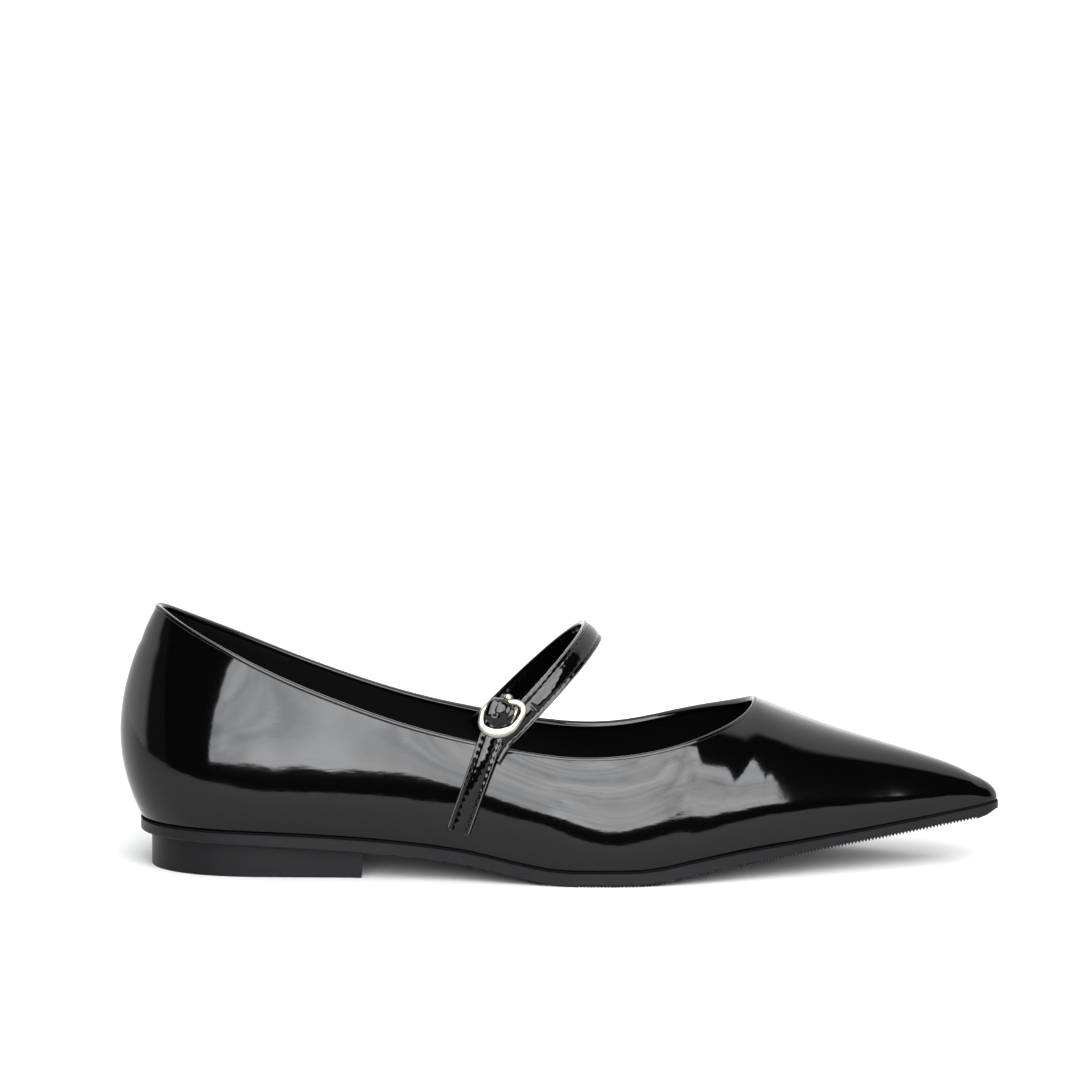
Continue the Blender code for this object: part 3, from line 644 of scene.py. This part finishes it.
bm = gridMesh(gripLook["columns"], gripLook["rows"], placeGrip, flip=False)
grip = addPiece("heelGrip", bm, [lining], sharp=50)
shell = grip.modifiers.new("Thickness", "SOLIDIFY")
shell.thickness = gripLook["depth"]
shell.offset = 1
rounding = grip.modifiers.new("Rounding", "BEVEL")
rounding.width = gripLook["rounding"]
rounding.segments = 2

footbedLook = {
    "thick": 0.0030,
    "toeThick": 0.0012,
    "clearance": 0.0006,
    "reach": 0.962,  # its blunt end, as a share of the shoe's length
    "edge": 0.0009,  # rounding
    "pad": 0.0004,  # how deep the heel sinks in
    "sheet": 0.0008,
    "columns": 130,
    "rows": 24,
}


def planPairs(out, stations):
    nearX, nearY, _, _ = last.foot(stations, out)
    farX, farY, _, _ = last.foot((last.end - stations) % last.end, out)
    return nearX, nearY, farX, farY


def placeFootbed(u, v):
    look = footbedLook
    first = last.stationAt(look["reach"] * lastForm["length"])
    stations = first + (last.back - first) * u
    nearX, nearY, farX, farY = planPairs(-(lastForm["wall"] + look["clearance"]), stations)
    share = 0.5 - 0.5 * np.cos(np.pi * v)
    x = nearX + (farX - nearX) * share
    y = nearY + (farY - nearY) * share
    thin = np.clip((x / lastForm["length"] - 0.80) / 0.15, 0, 1)
    thick = look["thick"] + (look["toeThick"] - look["thick"]) * thin
    inset = np.minimum(np.minimum(share, 1 - share) * (farY - nearY), look["edge"])
    drop = look["edge"] - np.sqrt(np.maximum(look["edge"] ** 2 - (look["edge"] - inset) ** 2, 0))
    pad = look["pad"] * np.exp(-(((x - 0.045) / 0.02) ** 2) - (y / 0.014) ** 2)
    z = last.seatZ(x) + lastForm["gap"] + thick - drop * 0.8 - pad
    return np.stack([x, y, z], axis=1) + toRow


bm = gridMesh(footbedLook["columns"], footbedLook["rows"], placeFootbed, flip=True)
footbed = addPiece("footbed", bm, [lining], sharp=60)
shell = footbed.modifiers.new("Thickness", "SOLIDIFY")
shell.thickness = footbedLook["sheet"]
shell.offset = -1
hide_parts("insole")

# outsole with its ribs, and the bead along the feather line
soleLook = {"pitch": 0.00100, "depth": 0.00055, "from": 0.520, "to": 0.975, "chamfer": 0.0004, "perRib": 4}


def ribs(x):  # how deep the tread is cut at x
    start, end = soleLook["from"] * lastForm["length"], soleLook["to"] * lastForm["length"]
    turn = (x - start) / soleLook["pitch"] % 1.0
    return np.where((x > start) & (x < end) & (np.abs(turn - 0.5) < 0.25), soleLook["depth"], 0)


def soleStations():
    dense = np.linspace(0, last.back, 4000)
    places = last.footX(dense)
    start, end = soleLook["from"] * lastForm["length"], soleLook["to"] * lastForm["length"]
    step = soleLook["pitch"] / soleLook["perRib"]
    ribbed = np.arange(start + step / 2, end, step)
    plain = dense[::36]
    inRibs = np.interp(ribbed, places[::-1], dense[::-1])
    plain = plain[(last.footX(plain) < start - 0.0006) | (last.footX(plain) > end + 0.0004)]
    return np.sort(np.concatenate([plain, inRibs]))


soleRows = soleStations()
soleSides = [  # share of the way across, in from the edge, up from the tread, down from the top
    (0, 0, 1, 0), (0, 0, 0, 1), (0, 1, 0, 0), (1, 1, 0, 0),
    (1, 0, 0, 1), (1, 0, 1, 0), (1, 1, 0.01, 0), (0, 1, 0.01, 0),
]


def placeSlab(rows, out, chamfer, low, high):  # a plate through rows of stations, eight points round
    def place(u, v):
        i = np.rint(u * (len(rows) - 1)).astype(int)
        j = np.rint(v * len(soleSides)).astype(int) % len(soleSides)
        side, inward, upward, downward = np.array(soleSides, float)[j].T
        nearX, nearY, farX, farY = planPairs(out, rows[i])
        step = np.minimum(chamfer * inward, np.abs(farY - nearY) * 0.45)
        x = np.where(side > 0.5, farX, nearX)
        y = np.where(side > 0.5, farY - step, nearY + step)
        fromBelow = low(x) + chamfer * np.floor(upward)
        fromAbove = high(x) - chamfer * downward * 0.6
        return np.stack([x, y, np.where(upward > 0, fromBelow, fromAbove)], axis=1) + toRow

    return place


placeSole = placeSlab(
    soleRows, lastForm["soleMargin"], soleLook["chamfer"], lambda x: last.treadZ(x) + ribs(x), last.seatZ
)
bm = gridMesh(len(soleRows) - 1, len(soleSides), placeSole, closed=True)
sole = addPiece("ribbedSole", bm, [soleRubber], sharp=30)
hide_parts("outsole")

beadLook = {"radius": 0.00038, "sides": 8, "out": 0.00005}
beadStations = stationsAround[:-1]
footX, footY, outX, outY = last.foot(beadStations, beadLook["out"])
points = np.stack([footX, footY, last.seatZ(footX) + 0.00012], axis=1)
faces = np.stack([outX, outY, np.zeros_like(outX)], axis=1)
beadPath = Path(points, faces, 0.0011, closed=True)
beadSection = roundSection(beadLook["radius"], beadLook["sides"])
bead = addPiece("featherBead", beadPath.sweep(beadSection), [thread], sharp=80)

liftLook = {"chamfer": 0.00035, "steps": 150}
breast = heelBack + lastForm["heelLength"]
liftRows = np.linspace(last.stationAt(breast), last.back, liftLook["steps"])
placeLift = placeSlab(
    liftRows,
    lastForm["soleMargin"] - lastForm["heelInset"],
    liftLook["chamfer"],
    lambda x: 0 * x,
    lambda x: last.treadZ(x) - lastForm["gap"],
)
bm = gridMesh(len(liftRows) - 1, len(soleSides), placeLift, closed=True)
for vert in bm.verts:  # the breast is flat
    if vert.co.x > breast - originX - 0.0002:
        vert.co.x = breast - originX
lift = addPiece("heelLift", bm, [heelRubber], sharp=30)
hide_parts("heel_block")
print("sole made: %d rows" % len(soleRows))

# strap, its tab and the buckle
strapLook = {
    "width": 0.0070,
    "thick": 0.0018,
    "position": 0.1110,  # foot of the hoop, from the rearmost bulge
    "foot": 0.0024,  # foot of the hoop above the topline
    "rise": 0.0268,
    "lean": 44.5,
    "tail": 0.0056,  # the end that hangs behind the tab
    "anchor": 0.0080,  # sewn down inside the medial wall
    "stitchIn": 0.0013,
    "pitch": 0.00235,
    "stitch": 0.00120,
    "threadRadius": 0.00016,
    "pillow": 0.00034,
    "hole": 0.0195,  # place along the strap
    "holeRadius": 0.00055,
    "plainStart": 0.010,  # unstitched at its ends
    "plainEnd": 0.009,
    "lip": 0.00018,  # groove between its two layers
}
tabLook = {
    "width": 0.0068,
    "thick": 0.0014,
    "lean": 19.0,
    "height": 0.0356,
    "flap": 0.0052,
    "stitchIn": 0.0014,
    "pitch": 0.00220,
    "pillow": 0.00026,
    "rise": 0.0170,  # length over which it lifts off the wall
    "lip": 0.0,
}
buckleLook = {"up": 0.0093, "tilt": 9.0, "thick": 0.0016, "barRadius": 0.0008}


class Fastening:  # places that the strap, the tab and the buckle share
    def __init__(self):
        look, gap = strapLook, lastForm["gap"]
        station = last.stationAt(look["position"])
        near = [float(c) for c in last.top(station)]
        far = [float(c) for c in last.top(last.end - station)]
        half = look["thick"] / 2
        self.footZ = near[2] + look["foot"]
        self.nearY = near[1] - gap - half
        self.farY = far[1] - lastForm["wall"] - gap - half
        lean, tabLean = math.radians(look["lean"]), math.radians(tabLook["lean"])
        tilt = math.radians(buckleLook["tilt"])
        self.lean = np.array([math.sin(lean), 0, math.cos(lean)])
        sine, cosine = math.sin(tabLean), math.cos(tabLean)
        self.up = np.array([sine, cosine * math.sin(tilt), cosine * math.cos(tilt)])
        self.across = np.array([cosine, -sine * math.sin(tilt), -sine * math.cos(tilt)])
        self.out = np.array([0, -math.cos(tilt), math.sin(tilt)])
        tailX = look["position"] - look["tail"] * math.tan(tabLean)
        point, self.tailNormal = last.wallAt(tailX, self.footZ - look["tail"], -1)
        self.tail = point + self.tailNormal * (gap + half)
        barZ = self.footZ + buckleLook["up"]
        layerY = self.tail[1] - (half + gap + tabLook["thick"] / 2)
        back = np.array([look["position"], layerY + (barZ - self.tail[2]) * math.tan(tilt), barZ])
        self.fold = buckleLook["barRadius"] + gap + tabLook["thick"] / 2
        self.bar = back + self.out * self.fold

    def place(self, across, up, out):
        return self.bar + self.across * across + self.up * up + self.out * out


held = Fastening()


def bandSection(look):  # a padded band's outline, from one edge round to the other
    w, h = look["width"] / 2, look["thick"] / 2
    seam = w - look["stitchIn"]
    right = [
        (w - look["lip"], 0.0), (w, 0.22 * h), (w, 0.62 * h), (w - 0.00010, 0.86 * h), (w - 0.00032, h),
        (seam + 0.0003, 0.98 * h), (seam, 0.86 * h), (seam - 0.0003, 0.98 * h), (seam - 0.0008, 1.05 * h),
    ]
    left = [(-a, b) for a, b in right[::-1]]
    face = right + [(0.0, 1.08 * h)] + left
    back = [(a, -b) for a, b in face[::-1]][1:-1]
    return face + back


def stitchShape(look, puckers=0.00008, underPillow=0.00012):
    line = look["width"] / 2 - look["stitchIn"]

    def shape(s, a, b):
        near = np.exp(-(((np.abs(a) - line) / 0.0006) ** 2))
        wave = 0.5 - 0.5 * np.cos(2 * np.pi * s / look["pitch"])
        swell = np.clip(1 - (a / line) ** 2, 0, 1) ** 0.8
        b = b + np.where(b > 0, look["pillow"], -underPillow * (b < 0)) * swell
        b = b - np.sign(b) * near * puckers * wave
        if "hole" in look:
            radius = look["holeRadius"]
            away = np.hypot(s - look["hole"], a)
            dip = np.exp(-((away / radius) ** 4)) * 0.0006
            rim = np.exp(-(((away - 1.5 * radius) / (0.45 * radius)) ** 2)) * 0.00007
            b = b + np.where(b > 0, rim - dip, 0)
        return a, b

    return shape


def addStitch(bm, point, long, wide, tall):
    turned = Matrix([[*long], [*wide], [*tall]]).transposed().to_4x4()
    turned.translation = Vector(point)
    bmesh.ops.create_uvsphere(bm, u_segments=6, v_segments=5, radius=1.0, matrix=turned)


def seamHeight(look):
    return look["thick"] / 2 * 0.86


def stitches(bm, path, look, start, end, faces=(1,)):
    line = look["width"] / 2 - look["stitchIn"]
    half, radius = strapLook["stitch"] / 2, strapLook["threadRadius"]
    for face in faces:
        for side in (1, -1):
            for s in np.arange(start, end, look["pitch"]):
                i, point = path.at(s, side * line, face * seamHeight(look))
                wide, tall = path.across[i] * radius, path.out[i] * radius * 0.8
                addStitch(bm, point, path.along[i] * half, wide, tall)


def hoopPoints(steps):
    look = strapLook
    middle, half = (held.nearY + held.farY) / 2, (held.farY - held.nearY) / 2
    foot = np.array([look["position"], 0, held.footZ])
    reach = look["rise"] / math.cos(math.radians(look["lean"]))
    points, faces = [held.tail], [held.tailNormal]
    for step in range(steps + 1):
        turn = math.pi * step / steps
        point = foot + held.lean * reach * math.sin(turn)
        point[1] = middle - half * math.cos(turn)
        face = held.lean * half * math.sin(turn)
        face[1] = -reach * math.cos(turn)
        points.append(point)
        faces.append(unit(face))
    inner = lastForm["wall"] + lastForm["gap"] + look["thick"] / 2
    for share in (0.5, 1.0):
        down = points[steps + 1] - held.lean * look["anchor"] * share
        wall, normal = last.wallAt(down[0], down[2], 1)
        points.append(wall - normal * inner)
        faces.append(normal)
    return points, faces


points, faces = hoopPoints(28)
strapPath = Path(points, faces, 0.00034)
bm = strapPath.sweep(bandSection(strapLook), stitchShape(strapLook))
strap = addPiece("strapBand", bm, [strapPatent], sharp=50)
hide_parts("strap")

bm = bmesh.new()
stitchEnd = strapPath.length - strapLook["plainEnd"]
stitches(bm, strapPath, strapLook, strapLook["plainStart"], stitchEnd, faces=(1, -1))


def tabPoints(wallSteps):
    look, gap = tabLook, lastForm["gap"]
    layer = gap + look["thick"] / 2
    lean, tilt = math.radians(look["lean"]), math.radians(buckleLook["tilt"])
    end = held.place(0, 0, -held.fold)
    liftEnd = held.tail[2] - gap
    liftStart = liftEnd - look["rise"]
    points, faces = [], []
    for step in range(wallSteps):
        drop = look["height"] * (1 - step / wallSteps)
        x, z = end[0] - drop * math.tan(lean), end[2] - drop
        wall, normal = last.wallAt(x, min(z, liftEnd), -1)
        clear = end[1] - drop * math.tan(tilt)
        share = np.clip((z - liftStart) / (liftEnd - liftStart), 0, 1)
        share = share * share * (3 - 2 * share)
        lying = (wall + normal * layer)[1]
        points.append(np.array([x, lying + (clear - lying) * share, z]))
        faces.append(unit(normal + (held.out - normal) * share))
    for step in range(9):
        turn = math.pi * step / 8
        points.append(held.place(0, held.fold * math.sin(turn), -held.fold * math.cos(turn)))
        faces.append(held.out * math.cos(turn) - held.up * math.sin(turn))
    for share, sink in ((0.35, 0.05), (0.70, 0.35), (1.0, 0.75)):
        points.append(held.place(0, -look["flap"] * share, held.fold * (1 - sink)))
        faces.append(-held.out)
    return points, faces


points, faces = tabPoints(14)
tabPath = Path(points, faces, 0.00034)
foldStart = tabPath.length - (math.pi * held.fold + tabLook["flap"] * 1.05)


def tabShape(s, a, b):  # stitched as the strap is, then narrowed and rounded in its fold
    a, b = stitchShape(tabLook)(s, a, b)
    inFold = np.clip((s - foldStart) / 0.0025, 0, 1)
    inFold = inFold * inFold * (3 - 2 * inFold)
    toEnd = np.clip((tabPath.length - s) / 0.0030, 0, 1)
    tongue = np.sqrt(np.clip(1 - (1 - toEnd) ** 2, 0.04, 1))
    crown = 0.00042 * inFold * (1 - (a / (tabLook["width"] / 2)) ** 2)
    b = b - np.where(b < 0, crown, 0)
    fromHole = np.hypot(s - (tabPath.length - 0.0034), a + 0.0004)
    b = b + np.where(b < 0, 0.00055 * np.exp(-((fromHole / 0.0006) ** 4)), 0)
    b = b - np.where(b < 0, 0.00012 * np.exp(-(((fromHole - 0.00105) / 0.0003) ** 2)), 0)
    return a * (1 - 0.14 * inFold) * tongue, b


tab = addPiece("tabBand", tabPath.sweep(bandSection(tabLook), tabShape), [strapPatent], sharp=50)
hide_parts("buckle_tab")
stitches(bm, tabPath, tabLook, 0.0016, foldStart - 0.004)
radius = strapLook["threadRadius"]
for k in range(5):  # a row of stitches across the lower end
    i, point = tabPath.at(0.0012, (k - 2) * 0.00105, seamHeight(tabLook))
    addStitch(bm, point, tabPath.across[i] * 0.00042, tabPath.along[i] * radius, tabPath.out[i] * radius)
bmesh.ops.recalc_face_normals(bm, faces=bm.faces)
stitching = addPiece("strapStitching", bm, [thread], sharp=80)

# pale lines painted along the bands' edges as their highlights
edgeHighlightLook = {"radius": 0.00016, "inset": 0.00030, "sides": 6}


def paintedEdgeHighlight(name, path, look, start, end):  # a pale line painted along each edge of a band's face, a painted highlight for its rounded edge
    keep = (path.s >= start) & (path.s <= end)
    section = roundSection(edgeHighlightLook["radius"], edgeHighlightLook["sides"])
    height = look["thick"] / 2 * 0.97
    for label, side in (("Front", 1), ("Rear", -1)):
        a = side * (look["width"] / 2 - edgeHighlightLook["inset"])
        points = (path.points + path.across * a + path.out * height)[keep]
        line = Path(points, path.out[keep], 0.0006)
        made = addPiece(name + label, line.sweep(section), [cutEdgeAndHighlight], sharp=80)


paintedEdgeHighlight("strapEdge", strapPath, strapLook, 0.008, stitchEnd)
paintedEdgeHighlight("tabEdge", tabPath, tabLook, 0.0003, foldStart + 0.001)

frayLook = {"fibres": 26, "length": 0.00075, "radius": 0.00005, "seed": 5}
dice = random.Random(frayLook["seed"])
bm = bmesh.new()
for _ in range(frayLook["fibres"]):
    a = dice.uniform(-0.48, 0.48) * tabLook["width"]
    b = dice.uniform(-0.4, 0.4) * tabLook["thick"]
    i, point = tabPath.at(0.0, a, b)
    sideways = tabPath.across[i] * dice.uniform(-0.5, 0.5)
    outwards = tabPath.out[i] * dice.uniform(-0.1, 0.5)
    way = Vector(-tabPath.along[i] + sideways + outwards)
    long = frayLook["length"] * dice.uniform(0.4, 1.0)
    moved = Matrix.Translation(Vector(point) + way.normalized() * long * 0.4)
    bmesh.ops.create_cone(
        bm,
        cap_ends=True,
        segments=5,
        radius1=frayLook["radius"],
        radius2=frayLook["radius"] * 0.4,
        depth=long,
        matrix=moved @ way.to_track_quat("Z", "Y").to_matrix().to_4x4(),
    )
fray = addPiece("tabFray", bm, [cutEdgeAndHighlight], sharp=80)

Fold = namedtuple("Fold", "name across up out wide tall deep turn")  # millimetres from the bar, degrees
folds = [  # the tab's end folded over the bar, and the strap's own fold beside it
    Fold("tabKnob", -0.9, -1.2, 1.35, 3.3, 3.5, 1.5, 0),
    Fold("innerFold", 2.9, -1.3, 1.05, 1.35, 2.7, 1.35, 14),
]
foldCorners = (0.68, 0.8, 0.68)  # powers below 1 square the fold off
buckleFrame = Matrix([held.across, held.out, held.up]).transposed().to_4x4()
for fold in folds:
    bm = bmesh.new()
    bmesh.ops.create_uvsphere(bm, u_segments=40, v_segments=28, radius=1.0)
    for vert in bm.verts:
        vert.co = [squared(c, power) for c, power in zip(vert.co, foldCorners)]
    bmesh.ops.remove_doubles(bm, verts=bm.verts, dist=1e-4)
    bmesh.ops.smooth_vert(bm, verts=bm.verts, factor=0.5, use_axis_x=True, use_axis_y=True, use_axis_z=True)
    middle = held.place(fold.across / 1000, fold.up / 1000, fold.out / 1000) + toRow
    moved = Matrix.Translation(middle) @ buckleFrame @ Matrix.Rotation(math.radians(fold.turn), 4, "Y")
    sized = Matrix.Diagonal((fold.wide / 1000, fold.deep / 1000, fold.tall / 1000, 1))
    bmesh.ops.transform(bm, matrix=moved @ sized, verts=bm.verts)
    bmesh.ops.recalc_face_normals(bm, faces=bm.faces)
    made = addPiece(fold.name, bm, [strapPatent], sharp=80)

# the hole's raised rim, coloured in the pale edge grey as a painted highlight for its glint
eyeLook = {"across": -0.0011, "up": -0.0022, "out": 0.00282, "radius": 0.00078, "tube": 0.00020}
points = [
    held.place(eyeLook["across"] + a, eyeLook["up"] + b, eyeLook["out"])
    for a, b in roundSection(eyeLook["radius"], 24)
]
eyePath = Path(points, [held.out] * len(points), 0.0002, closed=True)
eye = addPiece("tabEye", eyePath.sweep(roundSection(eyeLook["tube"], 12)), [cutEdgeAndHighlight], sharp=80)

RingPoint = namedtuple("RingPoint", "right up half")  # millimetres from the middle of the bar
ringPoints = [
    RingPoint(-4.1, 0.4, 0.80),
    RingPoint(0.0, 1.1, 0.80),
    RingPoint(4.6, 1.6, 0.95),
    RingPoint(6.2, 0.5, 1.05),
    RingPoint(6.3, -1.3, 1.00),
    RingPoint(5.2, -3.2, 1.00),
    RingPoint(3.5, -5.4, 1.25),
    RingPoint(1.5, -6.5, 1.50),
    RingPoint(-1.8, -6.9, 1.60),
    RingPoint(-4.2, -6.1, 1.30),
    RingPoint(-5.6, -4.3, 1.00),
    RingPoint(-5.5, -2.5, 0.95),
    RingPoint(-5.1, -0.8, 0.90),
]
leanIn = math.tan(math.radians(buckleLook["tilt"]))
points = [held.bar + np.array([p.right, p.up * leanIn, p.up]) / 1000 for p in ringPoints]
ringPath = Path(points, [held.out] * len(points), 0.00028, closed=True)
spans = np.linalg.norm(np.diff(np.array(points + points[:1]), axis=0), axis=1)
marks = np.concatenate([[0], np.cumsum(spans)])
widths = np.interp(ringPath.s, marks, [p.half / 1000 for p in ringPoints + ringPoints[:1]])
thick = buckleLook["thick"] / 2
ringSection = [(squared(a, 0.72), thick * squared(b, 0.85)) for a, b in roundSection(1.0, 24)]


def ringShape(s, a, b):
    return a * np.interp(s, ringPath.s, widths), b


ring = addPiece("buckleRing", ringPath.sweep(ringSection, ringShape), [buckleMetal], sharp=70)
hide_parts("buckle_frame")

coilLook = {"place": (0.0021, 0.0008, 0.0030), "size": (0.0013, 0.0009, 0.0011)}  # from the bar's middle
bm = bmesh.new()
moved = Matrix.Translation(held.bar + np.array(coilLook["place"]) + toRow)
sized = Matrix.Diagonal((*coilLook["size"], 1))
bmesh.ops.create_uvsphere(bm, u_segments=24, v_segments=14, radius=1.0, matrix=moved @ sized)
coil = addPiece("prongCoil", bm, [buckleMetal])
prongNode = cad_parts["buckle_prong"]
prongNode.data.materials.clear()
prongNode.data.materials.append(buckleMetal)
print("strap, tab and buckle made")

# camera, floor and light
cameraLook = {"aim": (0.0825, 0.0, 0.0950), "elevation": 10.0, "frame": 0.3139, "distance": 3.0}
tip = math.radians(cameraLook["elevation"])
looking = Vector((0, math.cos(tip), -math.sin(tip)))
camera = bpy.data.objects.new("camera", bpy.data.cameras.new("camera"))
bpy.context.scene.collection.objects.link(camera)
camera.location = Vector(cameraLook["aim"]) - looking * cameraLook["distance"]
camera.rotation_euler = looking.to_track_quat("-Z", "Y").to_euler()
camera.data.sensor_width = 36
camera.data.lens = 36 * cameraLook["distance"] / cameraLook["frame"]
camera.data.clip_end = 50
bpy.context.scene.camera = camera
bpy.context.scene.view_settings.view_transform = "Standard"

studioLook = {
    "floorFront": -0.45,
    "floorBack": 0.9,
    "floorWide": 1.8,
    "floorColour": (0.40, 0.40, 0.40),
    "floorFar": (0.80, 0.80, 0.80),
    "top": 18.0,  # watts of the lamp overhead
    "panel": 12.0,  # strength of the soft panel in front
    "panelY": -0.80,
    "panelLeft": -0.37,
    "panelRight": 0.86,
    "panelLow": 0.115,
    "panelHigh": 1.35,
    "hoodY": -0.30,  # the panel's upper part leans over the shoe to here
    "hoodHigh": 1.72,
    "hoodRight": 0.30,
    "rearGlow": 1.9,
    "leftGlow": 0.11,
}


def stagePlane(name, corners, material):
    bm = bmesh.new()
    bmesh.ops.create_grid(bm, x_segments=1, y_segments=1, size=0.5)
    a, b, c = (Vector(p) for p in corners)  # one corner, then along each side
    for vert in bm.verts:
        vert.co = a + (b - a) * (vert.co.x + 0.5) + (c - a) * (vert.co.y + 0.5)
    mesh = bpy.data.meshes.new(name)
    bm.to_mesh(mesh)
    bm.free()
    mesh.materials.append(material)
    plane = bpy.data.objects.new(name, mesh)
    bpy.context.scene.collection.objects.link(plane)
    return plane


floorFinish, tree, floorShader = newFinish("floorPaper", studioLook["floorColour"], 0.9, level=0.0)
place = tree.node("ShaderNodeTexCoord", {}, {}, "Object")
rearward = tree.node("ShaderNodeSeparateXYZ", {}, {"Vector": place}, "Y")
smoothStep = {"interpolation_type": "SMOOTHSTEP"}
paler = tree.node("ShaderNodeMapRange", smoothStep, {0: rearward, 1: -0.05, 2: 0.55})
paper = tree.node(
    "ShaderNodeMix",
    {"data_type": "RGBA"},
    {"Factor": paler, 6: (*studioLook["floorColour"], 1), 7: (*studioLook["floorFar"], 1)},
    2,
)
feed(tree, floorShader, "Base Color", paper)
left, right = 0.08 - studioLook["floorWide"] / 2, 0.08 + studioLook["floorWide"] / 2
front, rear = studioLook["floorFront"], studioLook["floorBack"]
stagePlane("floor", [(left, front, 0), (right, front, 0), (left, rear, 0)], floorFinish)

panelFinish = bpy.data.materials.new("softPanel")
panelFinish.use_nodes = True
tree = Shade(panelFinish.node_tree)
panelFinish.node_tree.nodes.clear()
place = tree.node("ShaderNodeTexCoord", {}, {}, "Object")
clouds = noiseAt(tree, place, 4.2, 4.0)
wisps = noiseAt(tree, place, 11.0, 6.0, stretch=(0.35, 1, 2.6), turn=(0, math.radians(-25), 0))
warmth = noiseAt(tree, place, 2.6, 2.0)
tint = tree.node(
    "ShaderNodeMix",
    {"data_type": "RGBA"},
    {"Factor": warmth, 6: (0.86, 0.95, 1.06, 1), 7: (1.06, 0.98, 0.90, 1)},
    2,
)
brightness = studioLook["panel"] * (clouds * 1.3 + wisps * 0.9 - 0.1)
glow = tree.node("ShaderNodeEmission", {}, {"Color": tint, "Strength": brightness})
output = panelFinish.node_tree.nodes.new("ShaderNodeOutputMaterial")
panelFinish.node_tree.links.new(glow.socket, output.inputs["Surface"])
left, low, high = studioLook["panelLeft"], studioLook["panelLow"], studioLook["panelHigh"]
front, hoodY, hoodHigh = studioLook["panelY"], studioLook["hoodY"], studioLook["hoodHigh"]
panels = {
    "softPanel": [(left, front, low), (left, front, high), (studioLook["panelRight"], front, low)],
    "softPanelTop": [(left, front, high), (left, hoodY, hoodHigh), (studioLook["hoodRight"], front, high)],
}
for name, corners in panels.items():
    stagePlane(name, corners, panelFinish).visible_camera = False

overhead = bpy.data.objects.new("overhead", bpy.data.lights.new("overhead", "AREA"))
overhead.data.shape = "RECTANGLE"
overhead.data.size = 2.2
overhead.data.size_y = 2.0
overhead.data.energy = studioLook["top"]
overhead.location = (0.08, 0.55, 1.7)
overhead.visible_glossy = False
overhead.visible_camera = False
bpy.context.scene.collection.objects.link(overhead)

world = bpy.data.worlds.new("studio")
bpy.context.scene.world = world
world.use_nodes = True
tree = Shade(world.node_tree)
direction = tree.node("ShaderNodeTexCoord", {}, {}, "Generated")
toRear = tree.node("ShaderNodeSeparateXYZ", {}, {"Vector": direction}, "Y")
behind = tree.node("ShaderNodeMapRange", smoothStep, {0: toRear, 1: -0.16, 2: 0.02})
toRight = tree.node("ShaderNodeSeparateXYZ", {}, {"Vector": direction}, "X")
leftWall = tree.node("ShaderNodeMapRange", {}, {0: toRight, 1: -0.84, 2: -0.87})
seen = tree.node("ShaderNodeLightPath", {}, {}, "Is Camera Ray")
glow = tree.maths("MAXIMUM", behind * studioLook["rearGlow"], leftWall * studioLook["leftGlow"])
strength = tree.maths("MAXIMUM", glow, seen)
back = world.node_tree.nodes["Background"]
back.inputs["Color"].default_value = (1, 1, 1, 1)
world.node_tree.links.new(strength.socket, back.inputs["Strength"])
print("camera and light set")
